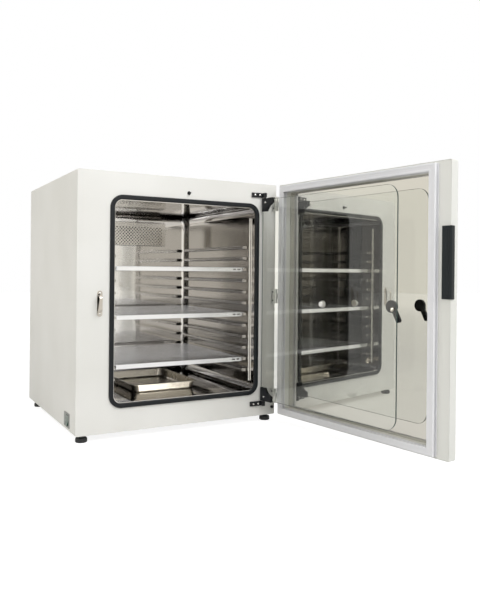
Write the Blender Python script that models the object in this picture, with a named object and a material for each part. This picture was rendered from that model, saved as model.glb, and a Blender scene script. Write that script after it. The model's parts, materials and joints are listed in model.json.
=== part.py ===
"""Carbon dioxide incubator: an insulated case, a solid outer door and an inner glass door.

Metres, +Z up. The origin is the middle of the case's flat underside, the front faces -Y,
and both doors hang on the case's right edge. Door pieces are drawn as they lie with the
doors shut; the empty on each hinge axis then swings them open.
"""
from math import cos, pi, radians, sin

import bmesh
import bpy
from mathutils import Matrix, Vector

# Chamber, and the walls from its inside to the case's outside
CHAMBER_WIDTH = 0.507
CHAMBER_HEIGHT = 0.634
CHAMBER_DEPTH = 0.580
LEFT_WALL = 0.112
RIGHT_WALL = 0.081
TOP_WALL = 0.081
BOTTOM_WALL = 0.085
REAR_WALL = 0.080

# Case
CASE_SHEET = 0.0015
CASE_CORNER = 0.004
FRONT_SHEET = 0.002
REAR_SHEET = 0.0015
SEAT = 0.0003
CORNER_STEPS = 5

# Liner, its foam boards and its mouth's seal
CHAMBER_CORNER = 0.029
CHAMBER_COVE = 0.022
COVE_STEPS = 3
LINER_SHEET = 0.001
REAR_INSULATION = 0.040
GASKET_LAP = 0.003
GASKET_WIDTH = 0.014
GASKET_PROUD = 0.0062
GASKET_EDGE = 0.0025
FOAM_CORNER = 0.002

# Racks and shelves
RACK_SHEET = 0.001
RACK_FLOOR_GAP = 0.032
RACK_CEILING_GAP = 0.037
RACK_CORNER = 0.004
RACK_SETBACK = 0.035
RACK_REAR_GAP = 0.022
UPRIGHT_WIDTH = 0.006
UPRIGHT_DEPTH = 0.005
RIB_PITCH = 0.0389
RIB_RISE = 0.0684
RIB_CEILING_GAP = 0.045
RIB_HALF = 0.006
RIB_REACH = 0.0235
RIB_SETBACK = 0.012
RIB_NOSE = 0.012
SHELF_RIBS = {"shelf_top": 9, "shelf_middle": 5, "shelf_bottom": 1}
SHELF_SHEET = 0.0012
SHELF_LIP = 0.014
SHELF_BEARING = 0.007
SHELF_SETBACK = 0.045
SHELF_REAR_GAP = 0.065
SHELF_CORNER = 0.003
SHELF_SLOT_ROWS = 5
SHELF_SLOT_COLUMNS = 6
SHELF_SLOT_LENGTH = 0.048
SHELF_SLOT_WIDTH = 0.012

# Fan, its cover and the probe
COVER_WIDTH = 0.295
COVER_HEIGHT = 0.093
COVER_CEILING_GAP = 0.029
COVER_CORNER = 0.004
COVER_DEPTH = 0.033
COVER_SHEET = 0.001
FAN_RADIUS = 0.038
FAN_THICKNESS = 0.016
FAN_BLADES = 9
FAN_WALL_GAP = 0.006
SHAFT_RADIUS = 0.004
SHAFT_CLEARANCE = 0.001
MOTOR_RADIUS = 0.034
MOTOR_LENGTH = 0.026
PROBE_RADIUS = 0.006
PROBE_LENGTH = 0.022
PROBE_OFFSET = 0.095

# Water pan
PAN_WIDTH = 0.245
PAN_LENGTH = 0.315
PAN_HEIGHT = 0.0285
PAN_LEFT_SHIFT = 0.0155
PAN_EDGE = 0.004
PAN_SETBACK = 0.140
PAN_CORNER = 0.030
PAN_TAPER = 0.006
PAN_RIM = 0.006
PAN_SHEET = 0.001

# Outer door
DOOR_OPEN = 97.2
DOOR_STANDOFF = 0.018
DOOR_THICKNESS = 0.032
DOOR_SHEET = 0.0015
DOOR_EDGE_ROUND = 0.006
DOOR_AXIS_OUT = 0.009
SEAL_WIDTH = 0.022
SEAL_FREE_MARGIN = 0.039
SEAL_HINGE_MARGIN = 0.019
SEAL_END_MARGIN = 0.007
SEAL_CORNER = 0.006
SEAL_WAIST = 0.0035
SEAL_BELLOWS = 0.0025
SEAL_MAGNET_INSET = 0.001
RECESS_DEPTH = 0.018
RECESS_CORNER = 0.003
MIRROR_SHEET = 0.002
MIRROR_LAP = 0.004
GRIP_RISE = 0.029
GRIP_LENGTH = 0.195
GRIP_EDGE = 0.002
GRIP_REACH = 0.027
GRIP_WALL = 0.0035
GRIP_GROOVE_WIDTH = 0.014
GRIP_GROOVE_DEPTH = 0.002
PANEL_WIDTH = 0.240
PANEL_HEIGHT = 0.100
PANEL_THICKNESS = 0.004
PANEL_CORNER = 0.010
PANEL_DROP = 0.140
DISPLAY_WIDTH = 0.100
DISPLAY_HEIGHT = 0.052
DISPLAY_THICKNESS = 0.001
DISPLAY_CORNER = 0.004

# Butt hinges of the outer door
HINGE_LENGTH = 0.050
HINGE_BOTTOM_MARGIN = 0.040
HINGE_MIDDLE_DROP = 0.013
HINGE_TOP_MARGIN = 0.091
HINGE_LEAF = 0.002
HINGE_REACH = 0.016
KNUCKLE_RADIUS = 0.0045
HINGE_PIN_RADIUS = 0.002
HINGE_BORE_CLEARANCE = 0.0002
HINGE_END_KNUCKLE = 0.016

# Glass door
GLASS_OPEN = 98.7
GLASS_AXIS_INSET = 0.006
GLASS_AXIS_OUT = 0.0125
GLASS_FREE_LAP = 0.033
GLASS_HINGE_LAP = 0.034
GLASS_BOTTOM_LAP = 0.027
GLASS_TOP_LAP = 0.026
GLASS_THICKNESS = 0.005
GLASS_CORNER = 0.038
GLASS_HINGE_CORNER = 0.004
GLASS_GAP = 0.0003
CLAMP_WALL = 0.0035
CLAMP_LENGTH = 0.055
CLAMP_HEIGHT = 0.045
CLAMP_OVERHANG = 0.004
CLAMP_SEAL_GAP = 0.002
BAR_GAP = 0.004
BAR_HEIGHT = 0.015
BAR_LENGTH = 0.054
BAR_DEPTH = 0.006
BAR_EYE = 0.0065
PIVOT_RADIUS = 0.0022
PIVOT_DEPTH = 0.0035
PIVOT_CLEARANCE = 0.0002

# Latch, keeper and port plug
LATCH_INSET = 0.0155
LATCH_DROP = 0.006
LATCH_REST = 28.0
KNOB_RADIUS = 0.0175
KNOB_THICKNESS = 0.0095
KNOB_ECCENTRIC = 0.0108
KNOB_LEAN = 45.0
LEVER_LENGTH = 0.040
LEVER_WIDTH = 0.013
LEVER_THICKNESS = 0.008
LATCH_SHAFT_RADIUS = 0.003
LATCH_WASHER_RADIUS = 0.0055
LATCH_WASHER_THICKNESS = 0.0025
KEEPER_OUT = 0.0085
KEEPER_LENGTH = 0.079
KEEPER_WIDTH = 0.016
KEEPER_SHEET = 0.0015
BAIL_OUT = 0.003
BAIL_WIDTH = 0.009
BAIL_SHEET = 0.0018
BAIL_SPAN = 0.0495
BAIL_REACH = 0.025
BAIL_CORNER = 0.009
PLUG_RIGHT_SHIFT = 0.0015
PLUG_DROP = 0.004
PLUG_RADIUS = 0.008
PLUG_FLANGE_RADIUS = 0.011
PLUG_FLANGE = 0.006
PLUG_STEM_PAST = 0.005
PLUG_CLEARANCE = 0.0003

# Power switch
SWITCH_SETBACK = 0.066
SWITCH_LENGTH = 0.062
SWITCH_BOTTOM = 0.010
SWITCH_HEIGHT = 0.045
SWITCH_DEPTH = 0.026
BEZEL_LIP = 0.004
BEZEL_FLANGE = 0.0015
ROCKER_LENGTH = 0.028
ROCKER_HEIGHT = 0.030
ROCKER_PROUD = 0.004
ROCKER_AXIS_DEPTH = 0.005
ROCKER_BACK = 0.0035
ROCKER_TILT = 8.0
ROCKER_CLEARANCE = 0.0012
ROCKER_SWING = 0.0025
ROCKER_OFFSET = 0.006
ROCKER_AXLE_RADIUS = 0.002
SWITCH_CORNER = 0.003

# Small fittings
PLUNGER_X = 0.014
PLUNGER_RISE = 0.005
PLUNGER_RADIUS = 0.0018
PLUNGER_PROUD = 0.015
PLUNGER_HIDDEN = 0.012
PLUNGER_TRAVEL = 0.010
PLUNGER_CLEARANCE = 0.0003
PLUNGER_BUSH_RADIUS = 0.0065
PLUNGER_BUSH = 0.003
GLAND_INSET = 0.0125
GLAND_Z = 0.026
GLAND_RADIUS = 0.0055
GLAND_STEM = 0.003
GLAND_LENGTH = 0.0112
DOOR_GLAND_LENGTH = 0.005
BUTTON_RADIUS = 0.010
BUTTON_HEIGHT = 0.004
BUTTON_INSET = 0.040
BUTTON_CLEARANCE = 0.0004
FOOT_RADIUS = 0.018
FOOT_HEIGHT = 0.022
FOOT_NECK = 0.008
FOOT_STEM = 0.005
FOOT_STEM_LENGTH = 0.012
FOOT_STEM_SHOWN = 0.003
FOOT_CLEARANCE = 0.0004
FOOT_INSET_X = 0.025
FOOT_INSET_FRONT = 0.025
FOOT_INSET_REAR = 0.060

# Rear fittings
VENT_COUNT = 9
VENT_PITCH = 0.012
VENT_LENGTH = 0.150
VENT_WIDTH = 0.004
VENT_DROP = 0.200
VENT_X = 0.180
BOX_WIDTH = 0.200
BOX_HEIGHT = 0.260
BOX_DEPTH = 0.026
BOX_X = -0.150
BOX_Z = 0.250
BOX_CORNER = 0.004
INLET_X = -0.240
INLET_Z = 0.080
INLET_WIDTH = 0.048
INLET_HEIGHT = 0.028
INLET_DEPTH = 0.005
INLET_WALL = 0.005
INLET_CORNER = 0.003
GAS_X = 0.240
GAS_Z = 0.080
GAS_RADIUS = 0.004
GAS_BARB = 0.0055
GAS_LENGTH = 0.028

CASE_HEIGHT = BOTTOM_WALL + CHAMBER_HEIGHT + TOP_WALL
SIDE = (LEFT_WALL + CHAMBER_WIDTH + RIGHT_WALL) / 2
REAR = (CHAMBER_DEPTH + REAR_WALL) / 2
FRONT = -REAR
CHAMBER_LEFT = -SIDE + LEFT_WALL
CHAMBER_RIGHT = SIDE - RIGHT_WALL
CHAMBER_FLOOR = BOTTOM_WALL
CHAMBER_CEILING = BOTTOM_WALL + CHAMBER_HEIGHT
CHAMBER_X = (CHAMBER_LEFT + CHAMBER_RIGHT) / 2
CHAMBER_Z = (CHAMBER_FLOOR + CHAMBER_CEILING) / 2
CHAMBER_BACK = FRONT + CHAMBER_DEPTH
RACK_BOTTOM = CHAMBER_FLOOR + RACK_FLOOR_GAP
RACK_TOP = CHAMBER_CEILING - RACK_CEILING_GAP
RIB_FIRST = CHAMBER_FLOOR + RIB_RISE
RIB_COUNT = int((CHAMBER_HEIGHT - RIB_RISE - RIB_CEILING_GAP) / RIB_PITCH) + 1
SHELF_DEPTH = CHAMBER_DEPTH - SHELF_SETBACK - SHELF_REAR_GAP
COVER_TOP = CHAMBER_CEILING - COVER_CEILING_GAP
COVER_BOTTOM = COVER_TOP - COVER_HEIGHT
PAN_X = CHAMBER_X - PAN_LEFT_SHIFT
SEAL_LEFT = -SIDE + SEAL_FREE_MARGIN
SEAL_RIGHT = SIDE - SEAL_HINGE_MARGIN
SEAL_BOTTOM = SEAL_END_MARGIN
SEAL_TOP = CASE_HEIGHT - SEAL_END_MARGIN
GRIP_BOTTOM = CASE_HEIGHT / 2 + GRIP_RISE
GRIP_TOP = GRIP_BOTTOM + GRIP_LENGTH
PANEL_Z = CASE_HEIGHT - PANEL_DROP
HINGE_BOTTOMS = (HINGE_BOTTOM_MARGIN, CASE_HEIGHT / 2 - HINGE_MIDDLE_DROP,
                 CASE_HEIGHT - HINGE_TOP_MARGIN)
GLASS_LEFT = CHAMBER_LEFT - GLASS_FREE_LAP
GLASS_RIGHT = CHAMBER_RIGHT + GLASS_HINGE_LAP
GLASS_BOTTOM = CHAMBER_FLOOR - GLASS_BOTTOM_LAP
GLASS_TOP = CHAMBER_CEILING + GLASS_TOP_LAP
GLASS_AXIS_X = GLASS_RIGHT - GLASS_AXIS_INSET
LATCH_X = GLASS_LEFT + LATCH_INSET
LATCH_Z = CHAMBER_Z - LATCH_DROP
KEEPER_X = GLASS_LEFT - KEEPER_OUT
BAIL_X = KEEPER_X - BAIL_OUT
PLUG_X = CHAMBER_X + PLUG_RIGHT_SHIFT
PLUG_Z = CHAMBER_Z - PLUG_DROP
PLUNGER_Z = GLASS_TOP + PLUNGER_RISE
GLAND_X = SIDE - GLAND_INSET
VENT_Z = CASE_HEIGHT - VENT_DROP
DOOR_FACE = FRONT - DOOR_STANDOFF
DOOR_OUTSIDE = DOOR_FACE - DOOR_THICKNESS
DOOR_AXIS = Vector((SIDE, FRONT - DOOR_AXIS_OUT, 0))
GLASS_INSIDE = FRONT - SEAT - GASKET_PROUD - GLASS_GAP
GLASS_OUTSIDE = GLASS_INSIDE - GLASS_THICKNESS
GLASS_AXIS = Vector((GLASS_AXIS_X, FRONT - GLASS_AXIS_OUT, 0))
FAN_Z = (COVER_BOTTOM + COVER_TOP) / 2
RACK_FACE = CHAMBER_WIDTH / 2 - SEAT - RACK_SHEET
BODY_BACK = CHAMBER_BACK + LINER_SHEET + SEAT + REAR_INSULATION


def material(name, colour, roughness, metallic=0.0, alpha=1.0):
    """One plain surface, with its colour in linear light."""
    made = bpy.data.materials.get(name)
    if made:
        return made
    made = bpy.data.materials.new(name)
    made.use_nodes = True
    shader = made.node_tree.nodes["Principled BSDF"]
    shader.inputs["Base Color"].default_value = (*colour, 1.0)
    shader.inputs["Roughness"].default_value = roughness
    shader.inputs["Metallic"].default_value = metallic
    shader.inputs["Alpha"].default_value = alpha
    made.diffuse_color = (*colour, alpha)
    return made


def case_paint():
    return material("case_paint", (0.79, 0.78, 0.74), 0.42)


def stainless():
    return material("stainless", (0.62, 0.60, 0.56), 0.18, 1.0)


def chrome():
    return material("chrome", (0.72, 0.72, 0.72), 0.12, 1.0)


def black_rubber():
    return material("black_rubber", (0.022, 0.026, 0.030), 0.60)


def black_plastic():
    return material("black_plastic", (0.028, 0.030, 0.033), 0.38)


def foam():
    return material("foam", (0.70, 0.66, 0.52), 0.90)


def pivot(name, place, turn=0.0, parent=None):
    """An empty on a joint's axis, turned about the vertical to the resting pose."""
    empty = bpy.data.objects.new(name, None)
    bpy.context.collection.objects.link(empty)
    empty.location = place - parent["closed_at"] if parent else place
    empty.rotation_euler = (0, 0, radians(turn))
    empty.parent = parent["empty"] if parent else None
    return {"empty": empty, "closed_at": place}


def add_object(name, mesh, finish, joint=None):
    """Link a mesh drawn in shut-door coordinates and hang it on its joint's empty."""
    if finish:
        mesh.materials.append(finish)
    mesh.shade_smooth()
    mesh.set_sharp_from_angle(angle=radians(35))
    made = bpy.data.objects.new(name, mesh)
    bpy.context.collection.objects.link(made)
    if joint:
        made.parent = joint["empty"]
        made.matrix_parent_inverse = Matrix.Translation(joint["closed_at"]).inverted()
    return made


def loft(name, loops, finish, joint=None, ring=False):
    """Skin closed loops of equal length; the ends are capped unless the loops form a ring."""
    made = bmesh.new()
    rows = [[made.verts.new(point) for point in loop] for loop in loops]
    count = len(rows[0])
    following = rows[1:] + rows[:1] if ring else rows[1:]
    for first, second in zip(rows, following):
        for index in range(count):
            after = (index + 1) % count
            made.faces.new((first[index], first[after], second[after], second[index]))
    if not ring:
        made.faces.new(list(reversed(rows[0])))
        made.faces.new(rows[-1])
    if made.calc_volume(signed=True) < 0:
        bmesh.ops.reverse_faces(made, faces=made.faces)
    mesh = bpy.data.meshes.new(name)
    made.to_mesh(mesh)
    made.free()
    return add_object(name, mesh, finish, joint)


def rounded(left, right, low, high, radii, steps=CORNER_STEPS):
    """Points of a rectangle with round corners, from the lower left corner anticlockwise."""
    if not isinstance(radii, (tuple, list)):
        radii = (radii,) * 4
    points = []
    for corner, radius in enumerate(radii):
        across = left + radius if corner in (0, 3) else right - radius
        up = low + radius if corner in (0, 1) else high - radius
        for step in range(steps + 1):
            angle = pi + (corner + step / steps) * pi / 2
            points.append((across + radius * cos(angle), up + radius * sin(angle)))
    return points


def circle(across, up, radius, sides=16):
    return [(across + radius * cos(2 * pi * side / sides), up + radius * sin(2 * pi * side / sides))
            for side in range(sides)]


def place(points, axis, level):
    """Lay plane points on the plane that lies across the axis at the level."""
    if axis == "X":
        return [(level, first, second) for first, second in points]
    if axis == "Y":
        return [(first, level, second) for first, second in points]
    return [(first, second, level) for first, second in points]


def prism(name, points, axis, low, high, finish, joint=None):
    return loft(name, [place(points, axis, low), place(points, axis, high)], finish, joint)


def turned(name, centre, axis, profile, finish, joint=None, sides=16):
    """A turned piece: the profile's pairs are (place along the axis, radius)."""
    loops = [place(circle(*centre, radius, sides), axis, level) for level, radius in profile]
    return loft(name, loops, finish, joint)


def combine(target, other, operation):
    """Cut the other shape from the target, or join it to the target."""
    other.hide_render = True
    other.display_type = "WIRE"
    change = target.modifiers.new(other.name, "BOOLEAN")
    change.operation = operation
    change.object = other
    change.solver = "EXACT"
    return target


def cut(target, other):
    return combine(target, other, "DIFFERENCE")


def join(target, other):
    return combine(target, other, "UNION")


def chamber_loop(offset, depth_at):
    """The chamber's outline moved outwards by the offset."""
    half_width = CHAMBER_WIDTH / 2 + offset
    half_height = CHAMBER_HEIGHT / 2 + offset
    outline = rounded(CHAMBER_X - half_width, CHAMBER_X + half_width,
                      CHAMBER_Z - half_height, CHAMBER_Z + half_height, CHAMBER_CORNER + offset)
    return place(outline, "Y", depth_at)


def tub_loops(skin, mouth):
    """The chamber's surface moved outwards by the skin, from its mouth to its coved back."""
    loops = [chamber_loop(skin, mouth)]
    cove = CHAMBER_COVE + skin
    for step in range(COVE_STEPS + 1):
        angle = pi / 2 * step / COVE_STEPS
        loops.append(chamber_loop(skin - cove * (1 - cos(angle)),
                                  CHAMBER_BACK + skin - cove * (1 - sin(angle))))
    return loops


def case_outline(inset):
    return rounded(-SIDE + inset, SIDE - inset, inset, CASE_HEIGHT - inset,
                   max(CASE_CORNER - inset, SEAT))


def foot_places():
    across = SIDE - FOOT_INSET_X
    return {"foot_front_left": (-across, FRONT + FOOT_INSET_FRONT),
            "foot_front_right": (across, FRONT + FOOT_INSET_FRONT),
            "foot_rear_left": (-across, REAR - FOOT_INSET_REAR),
            "foot_rear_right": (across, REAR - FOOT_INSET_REAR)}


def foot_hole(name, centre):
    """The hole for one foot's threaded stem, through the case's bottom into the foam."""
    top = FOOT_STEM_LENGTH + CASE_SHEET
    return turned(name, centre, "Z", [(-CASE_SHEET, FOOT_STEM + FOOT_CLEARANCE),
                                      (top, FOOT_STEM + FOOT_CLEARANCE)], None)


def button_places():
    across = SIDE - BUTTON_INSET
    along = REAR - BUTTON_INSET
    return {"top_button_front_left": (-across, -along), "top_button_front_right": (across, -along),
            "top_button_rear_left": (-across, along), "top_button_rear_right": (across, along)}


def switch_box(name, grow):
    """The space that the power switch's housing takes, grown all round."""
    low = FRONT + SWITCH_SETBACK - grow
    outline = rounded(low, low + SWITCH_LENGTH + 2 * grow, SWITCH_BOTTOM - grow,
                      SWITCH_BOTTOM + SWITCH_HEIGHT + grow, SWITCH_CORNER, 2)
    return prism(name, outline, "X", -SIDE - CASE_SHEET, -SIDE + SWITCH_DEPTH + grow, None)


def outer_case():
    """Painted wrap of one sheet: both sides, top and bottom, with holes for feet and buttons."""
    front = FRONT + FRONT_SHEET + SEAT
    rear = REAR - REAR_SHEET - SEAT
    loops = [place(case_outline(inset), "Y", level) for inset, level in
             ((0, front), (0, rear), (CASE_SHEET, rear), (CASE_SHEET, front))]
    made = loft("outer_case", loops, case_paint(), ring=True)
    cut(made, switch_box("case_switch_hole", SEAT))
    for name, centre in foot_places().items():
        cut(made, foot_hole(name + "_hole", centre))
    for name, centre in button_places().items():
        cut(made, turned(name + "_hole", centre, "Z",
                         [(CASE_HEIGHT - 2 * CASE_SHEET, BUTTON_RADIUS + BUTTON_CLEARANCE),
                          (CASE_HEIGHT + CASE_SHEET, BUTTON_RADIUS + BUTTON_CLEARANCE)], None))


def front_panel():
    """Painted front sheet with the chamber's mouth and the door switch's hole."""
    back = FRONT + FRONT_SHEET
    skin = LINER_SHEET + SEAT
    loops = [place(case_outline(0), "Y", FRONT), place(case_outline(0), "Y", back),
             chamber_loop(skin, back), chamber_loop(skin, FRONT)]
    made = loft("front_panel", loops, case_paint(), ring=True)
    cut(made, plunger_hole("panel_plunger_hole"))


def rear_panel():
    """Painted back sheet with a block of ventilation slots."""
    made = prism("rear_panel", case_outline(0), "Y", REAR - REAR_SHEET, REAR, case_paint())
    for index in range(VENT_COUNT):
        level = VENT_Z + (index - (VENT_COUNT - 1) / 2) * VENT_PITCH
        outline = rounded(VENT_X - VENT_LENGTH / 2, VENT_X + VENT_LENGTH / 2,
                          level - VENT_WIDTH / 2, level + VENT_WIDTH / 2, VENT_WIDTH / 2.1, 2)
        cut(made, prism(f"vent_{index}", outline, "Y", REAR - 2 * REAR_SHEET, REAR + REAR_SHEET,
                        None))


def plunger_hole(name):
    depth = PLUNGER_HIDDEN + PLUNGER_TRAVEL + 2 * SEAT
    radius = PLUNGER_RADIUS + PLUNGER_CLEARANCE
    return turned(name, (PLUNGER_X, PLUNGER_Z), "Y",
                  [(FRONT - FRONT_SHEET, radius), (FRONT + depth, radius)], None)


def foam_board(name, left, right, low, high, front):
    outline = rounded(left, right, low, high, FOAM_CORNER, 2)
    return prism(name, outline, "Y", front, BODY_BACK, foam())


def insulation():
    """Foam boards fitted between the case and the chamber liner, and one behind the liner."""
    inset = CASE_SHEET + SEAT
    front = FRONT + FRONT_SHEET + SEAT
    skin = LINER_SHEET + SEAT
    left = CHAMBER_LEFT - skin
    right = CHAMBER_RIGHT + skin
    floor = CHAMBER_FLOOR - skin
    ceiling = CHAMBER_CEILING + skin
    top = CASE_HEIGHT - inset
    sides = {"left": foam_board("foam_left", -SIDE + inset, left, inset, top, front),
             "right": foam_board("foam_right", right, SIDE - inset, inset, top, front)}
    foam_board("foam_bottom", left + SEAT, right - SEAT, inset, floor, front)
    above = foam_board("foam_top", left + SEAT, right - SEAT, ceiling, top, front)
    behind = foam_board("foam_back", left + SEAT, right - SEAT, floor + SEAT, ceiling - SEAT,
                        CHAMBER_BACK + skin)
    cut(sides["left"], switch_box("foam_switch_hole", 2 * SEAT))
    cut(above, plunger_hole("foam_plunger_hole"))
    cut(behind, shaft_hole("foam_shaft_hole"))
    for name, centre in foot_places().items():
        cut(sides["left" if centre[0] < 0 else "right"], foot_hole(name + "_pocket", centre))


def shaft_hole(name):
    radius = SHAFT_RADIUS + SHAFT_CLEARANCE
    return turned(name, (CHAMBER_X, FAN_Z), "Y",
                  [(CHAMBER_BACK - CHAMBER_COVE, radius), (BODY_BACK + SEAT, radius)], None)


def chamber_liner():
    """Polished stainless tub with rounded edges, open at the front."""
    inside = list(reversed(tub_loops(0, FRONT)))
    made = loft("chamber_liner", inside + tub_loops(LINER_SHEET, FRONT), stainless())
    cut(made, shaft_hole("liner_shaft_hole"))


def chamber_gasket():
    """Black rubber edge seal round the chamber's mouth, with a rounded face."""
    outside = GASKET_WIDTH - GASKET_LAP
    base = FRONT - SEAT
    section = ((outside, 0), (outside, 0.55), (outside - GASKET_EDGE, 1.0),
               (GASKET_EDGE - GASKET_LAP, 1.0), (-GASKET_LAP, 0.55), (-GASKET_LAP, 0))
    loops = [chamber_loop(offset, base - share * GASKET_PROUD) for offset, share in section]
    loft("chamber_gasket", loops, black_rubber(), ring=True)


def rib_loops(side, level):
    """One pressed runner rib: flat above and below, with a round nose and a bullet front end."""
    front = FRONT + RACK_SETBACK + RIB_SETBACK
    rear = CHAMBER_BACK - RACK_REAR_GAP - RIB_SETBACK
    loops = []
    for depth_at, share in ((front, 0.30), (front + RIB_NOSE * 0.35, 0.76),
                            (front + RIB_NOSE, 1.0), (rear, 1.0)):
        loop = [(CHAMBER_X + side * (RACK_FACE + RACK_SHEET / 2), depth_at, level - RIB_HALF * share),
                (CHAMBER_X + side * (RACK_FACE + RACK_SHEET / 2), depth_at, level + RIB_HALF * share)]
        for step in range(5):
            angle = pi / 2 - pi * step / 4
            reach = (RIB_REACH - RIB_HALF + RIB_HALF * cos(angle)) * share
            loop.append((CHAMBER_X + side * (RACK_FACE - reach), depth_at,
                         level + RIB_HALF * share * sin(angle)))
        loops.append(loop)
    return loops


def rack(name, side):
    """One side rack: a thin sheet with pressed runner ribs and a front upright."""
    inner = CHAMBER_X + side * RACK_FACE
    outer = CHAMBER_X + side * (RACK_FACE + RACK_SHEET)
    front = FRONT + RACK_SETBACK
    sheet = rounded(front, CHAMBER_BACK - RACK_REAR_GAP, RACK_BOTTOM, RACK_TOP, RACK_CORNER, 2)
    made = prism(name, sheet, "X", min(inner, outer), max(inner, outer), stainless())
    upright_face = CHAMBER_X + side * (RACK_FACE - UPRIGHT_DEPTH)
    middle = CHAMBER_X + side * (RACK_FACE + RACK_SHEET / 2)
    upright = rounded(front, front + UPRIGHT_WIDTH, RACK_BOTTOM, RACK_TOP,
                      UPRIGHT_WIDTH * 0.4, 2)
    join(made, prism(name + "_upright", upright, "X", min(upright_face, middle),
                     max(upright_face, middle), None))
    for index in range(RIB_COUNT):
        join(made, loft(f"{name}_rib_{index}", rib_loops(side, RIB_FIRST + index * RIB_PITCH),
                        None))


def shelf(name, rib):
    """A removable shelf: thin sheet with turned-down lips, resting on one pair of ribs."""
    joint = pivot(name + "_slide", Vector((CHAMBER_X, FRONT + SHELF_SETBACK, 0)))
    top = RIB_FIRST + rib * RIB_PITCH + RIB_HALF + SEAT + SHELF_SHEET
    half = RACK_FACE - RIB_REACH + SHELF_BEARING
    front = FRONT + SHELF_SETBACK
    rear = front + SHELF_DEPTH
    sheet = rounded(CHAMBER_X - half, CHAMBER_X + half, front, rear, SHELF_CORNER, 2)
    made = prism(name, sheet, "Z", top - SHELF_SHEET, top, stainless(), joint)
    lip_half = RACK_FACE - RIB_REACH - 2 * SEAT - SHELF_SHEET
    for label, start in (("front", front), ("rear", rear - SHELF_SHEET)):
        outline = rounded(CHAMBER_X - lip_half, CHAMBER_X + lip_half, top - SHELF_LIP,
                          top - SHELF_SHEET / 2, SHELF_CORNER, 2)
        join(made, prism(f"{name}_{label}_lip", outline, "Y", start, start + SHELF_SHEET, None,
                         joint))
    step_x = 2 * lip_half / SHELF_SLOT_COLUMNS
    step_y = SHELF_DEPTH / SHELF_SLOT_ROWS
    for row in range(SHELF_SLOT_ROWS):
        for column in range(SHELF_SLOT_COLUMNS):
            across = CHAMBER_X - lip_half + (column + 0.5) * step_x
            along = front + (row + 0.5) * step_y
            slot = rounded(across - SHELF_SLOT_LENGTH / 2, across + SHELF_SLOT_LENGTH / 2,
                           along - SHELF_SLOT_WIDTH / 2, along + SHELF_SLOT_WIDTH / 2,
                           SHELF_SLOT_WIDTH / 3, 1)
            cut(made, prism(f"{name}_slot_{row}_{column}", slot, "Z", top - 2 * SHELF_SHEET,
                            top + SHELF_SHEET, None, joint))


def fan_cover():
    """Shallow folded cover on the chamber's back wall, open behind, over the fan wheel."""
    def outline(inset):
        return rounded(CHAMBER_X - COVER_WIDTH / 2 + inset, CHAMBER_X + COVER_WIDTH / 2 - inset,
                       COVER_BOTTOM + inset, COVER_TOP - inset, COVER_CORNER - inset, 2)
    face = CHAMBER_BACK - COVER_DEPTH
    rim = CHAMBER_BACK - SEAT
    loops = [place(outline(COVER_SHEET), "Y", face + COVER_SHEET),
             place(outline(COVER_SHEET), "Y", rim), place(outline(0), "Y", rim),
             place(outline(0), "Y", face)]
    loft("fan_cover", loops, stainless())


def fan_wheel():
    """Radial wheel with swept blades on a shaft that passes through the wall to the motor."""
    centre = Vector((CHAMBER_X, 0, FAN_Z))
    joint = pivot("fan_axis", centre)
    rear = CHAMBER_BACK - FAN_WALL_GAP
    outline = []
    for blade in range(FAN_BLADES):
        base = 2 * pi * blade / FAN_BLADES
        for share, lag in ((0.36, 0.0), (0.72, 0.10), (1.0, 0.30), (0.98, 0.38), (0.70, 0.22),
                           (0.36, 0.16)):
            radius = FAN_RADIUS * share
            outline.append((CHAMBER_X + radius * cos(base + lag), FAN_Z + radius * sin(base + lag)))
    made = prism("fan_wheel", outline, "Y", rear - FAN_THICKNESS, rear, black_plastic(), joint)
    join(made, turned("fan_shaft", (CHAMBER_X, FAN_Z), "Y",
                      [(rear - FAN_THICKNESS / 8, SHAFT_RADIUS), (BODY_BACK, SHAFT_RADIUS)],
                      None, joint))


def fan_motor():
    start = BODY_BACK + SEAT
    turned("fan_motor", (CHAMBER_X, FAN_Z), "Y",
           [(start, MOTOR_RADIUS), (start + MOTOR_LENGTH * 0.85, MOTOR_RADIUS),
            (start + MOTOR_LENGTH, MOTOR_RADIUS * 0.8)], black_plastic(), sides=20)


def sensor_probe():
    """Gas and temperature probe beside the fan, behind the cover."""
    rear = CHAMBER_BACK - SEAT
    turned("sensor_probe", (CHAMBER_X + PROBE_OFFSET, FAN_Z), "Y",
           [(rear - PROBE_LENGTH, PROBE_RADIUS * 0.7), (rear - PROBE_LENGTH * 0.9, PROBE_RADIUS),
            (rear, PROBE_RADIUS)], stainless(), sides=12)


def water_pan():
    """Humidity pan with tapered walls and a turned-out rim, standing on the chamber floor."""
    joint = pivot("pan_slide", Vector((PAN_X, FRONT + PAN_SETBACK, 0)))
    floor = CHAMBER_FLOOR + SEAT
    top = floor + PAN_HEIGHT
    middle_y = FRONT + PAN_SETBACK + PAN_LENGTH / 2

    def outline(inset, level):
        half_width = PAN_WIDTH / 2 - inset
        half_length = PAN_LENGTH / 2 - inset
        points = rounded(PAN_X - half_width, PAN_X + half_width, middle_y - half_length,
                         middle_y + half_length, PAN_CORNER - inset)
        return place(points, "Z", level)
    wall = PAN_RIM + PAN_SHEET
    base = PAN_RIM + PAN_TAPER
    loops = [outline(base + PAN_EDGE, floor), outline(base, floor + PAN_EDGE),
             outline(PAN_RIM, top - PAN_SHEET), outline(0, top - PAN_SHEET), outline(0, top),
             outline(wall, top), outline(base + PAN_SHEET, floor + PAN_EDGE + PAN_SHEET),
             outline(base + PAN_EDGE + PAN_SHEET, floor + PAN_SHEET)]
    loft("water_pan", loops, stainless(), joint)


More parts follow.
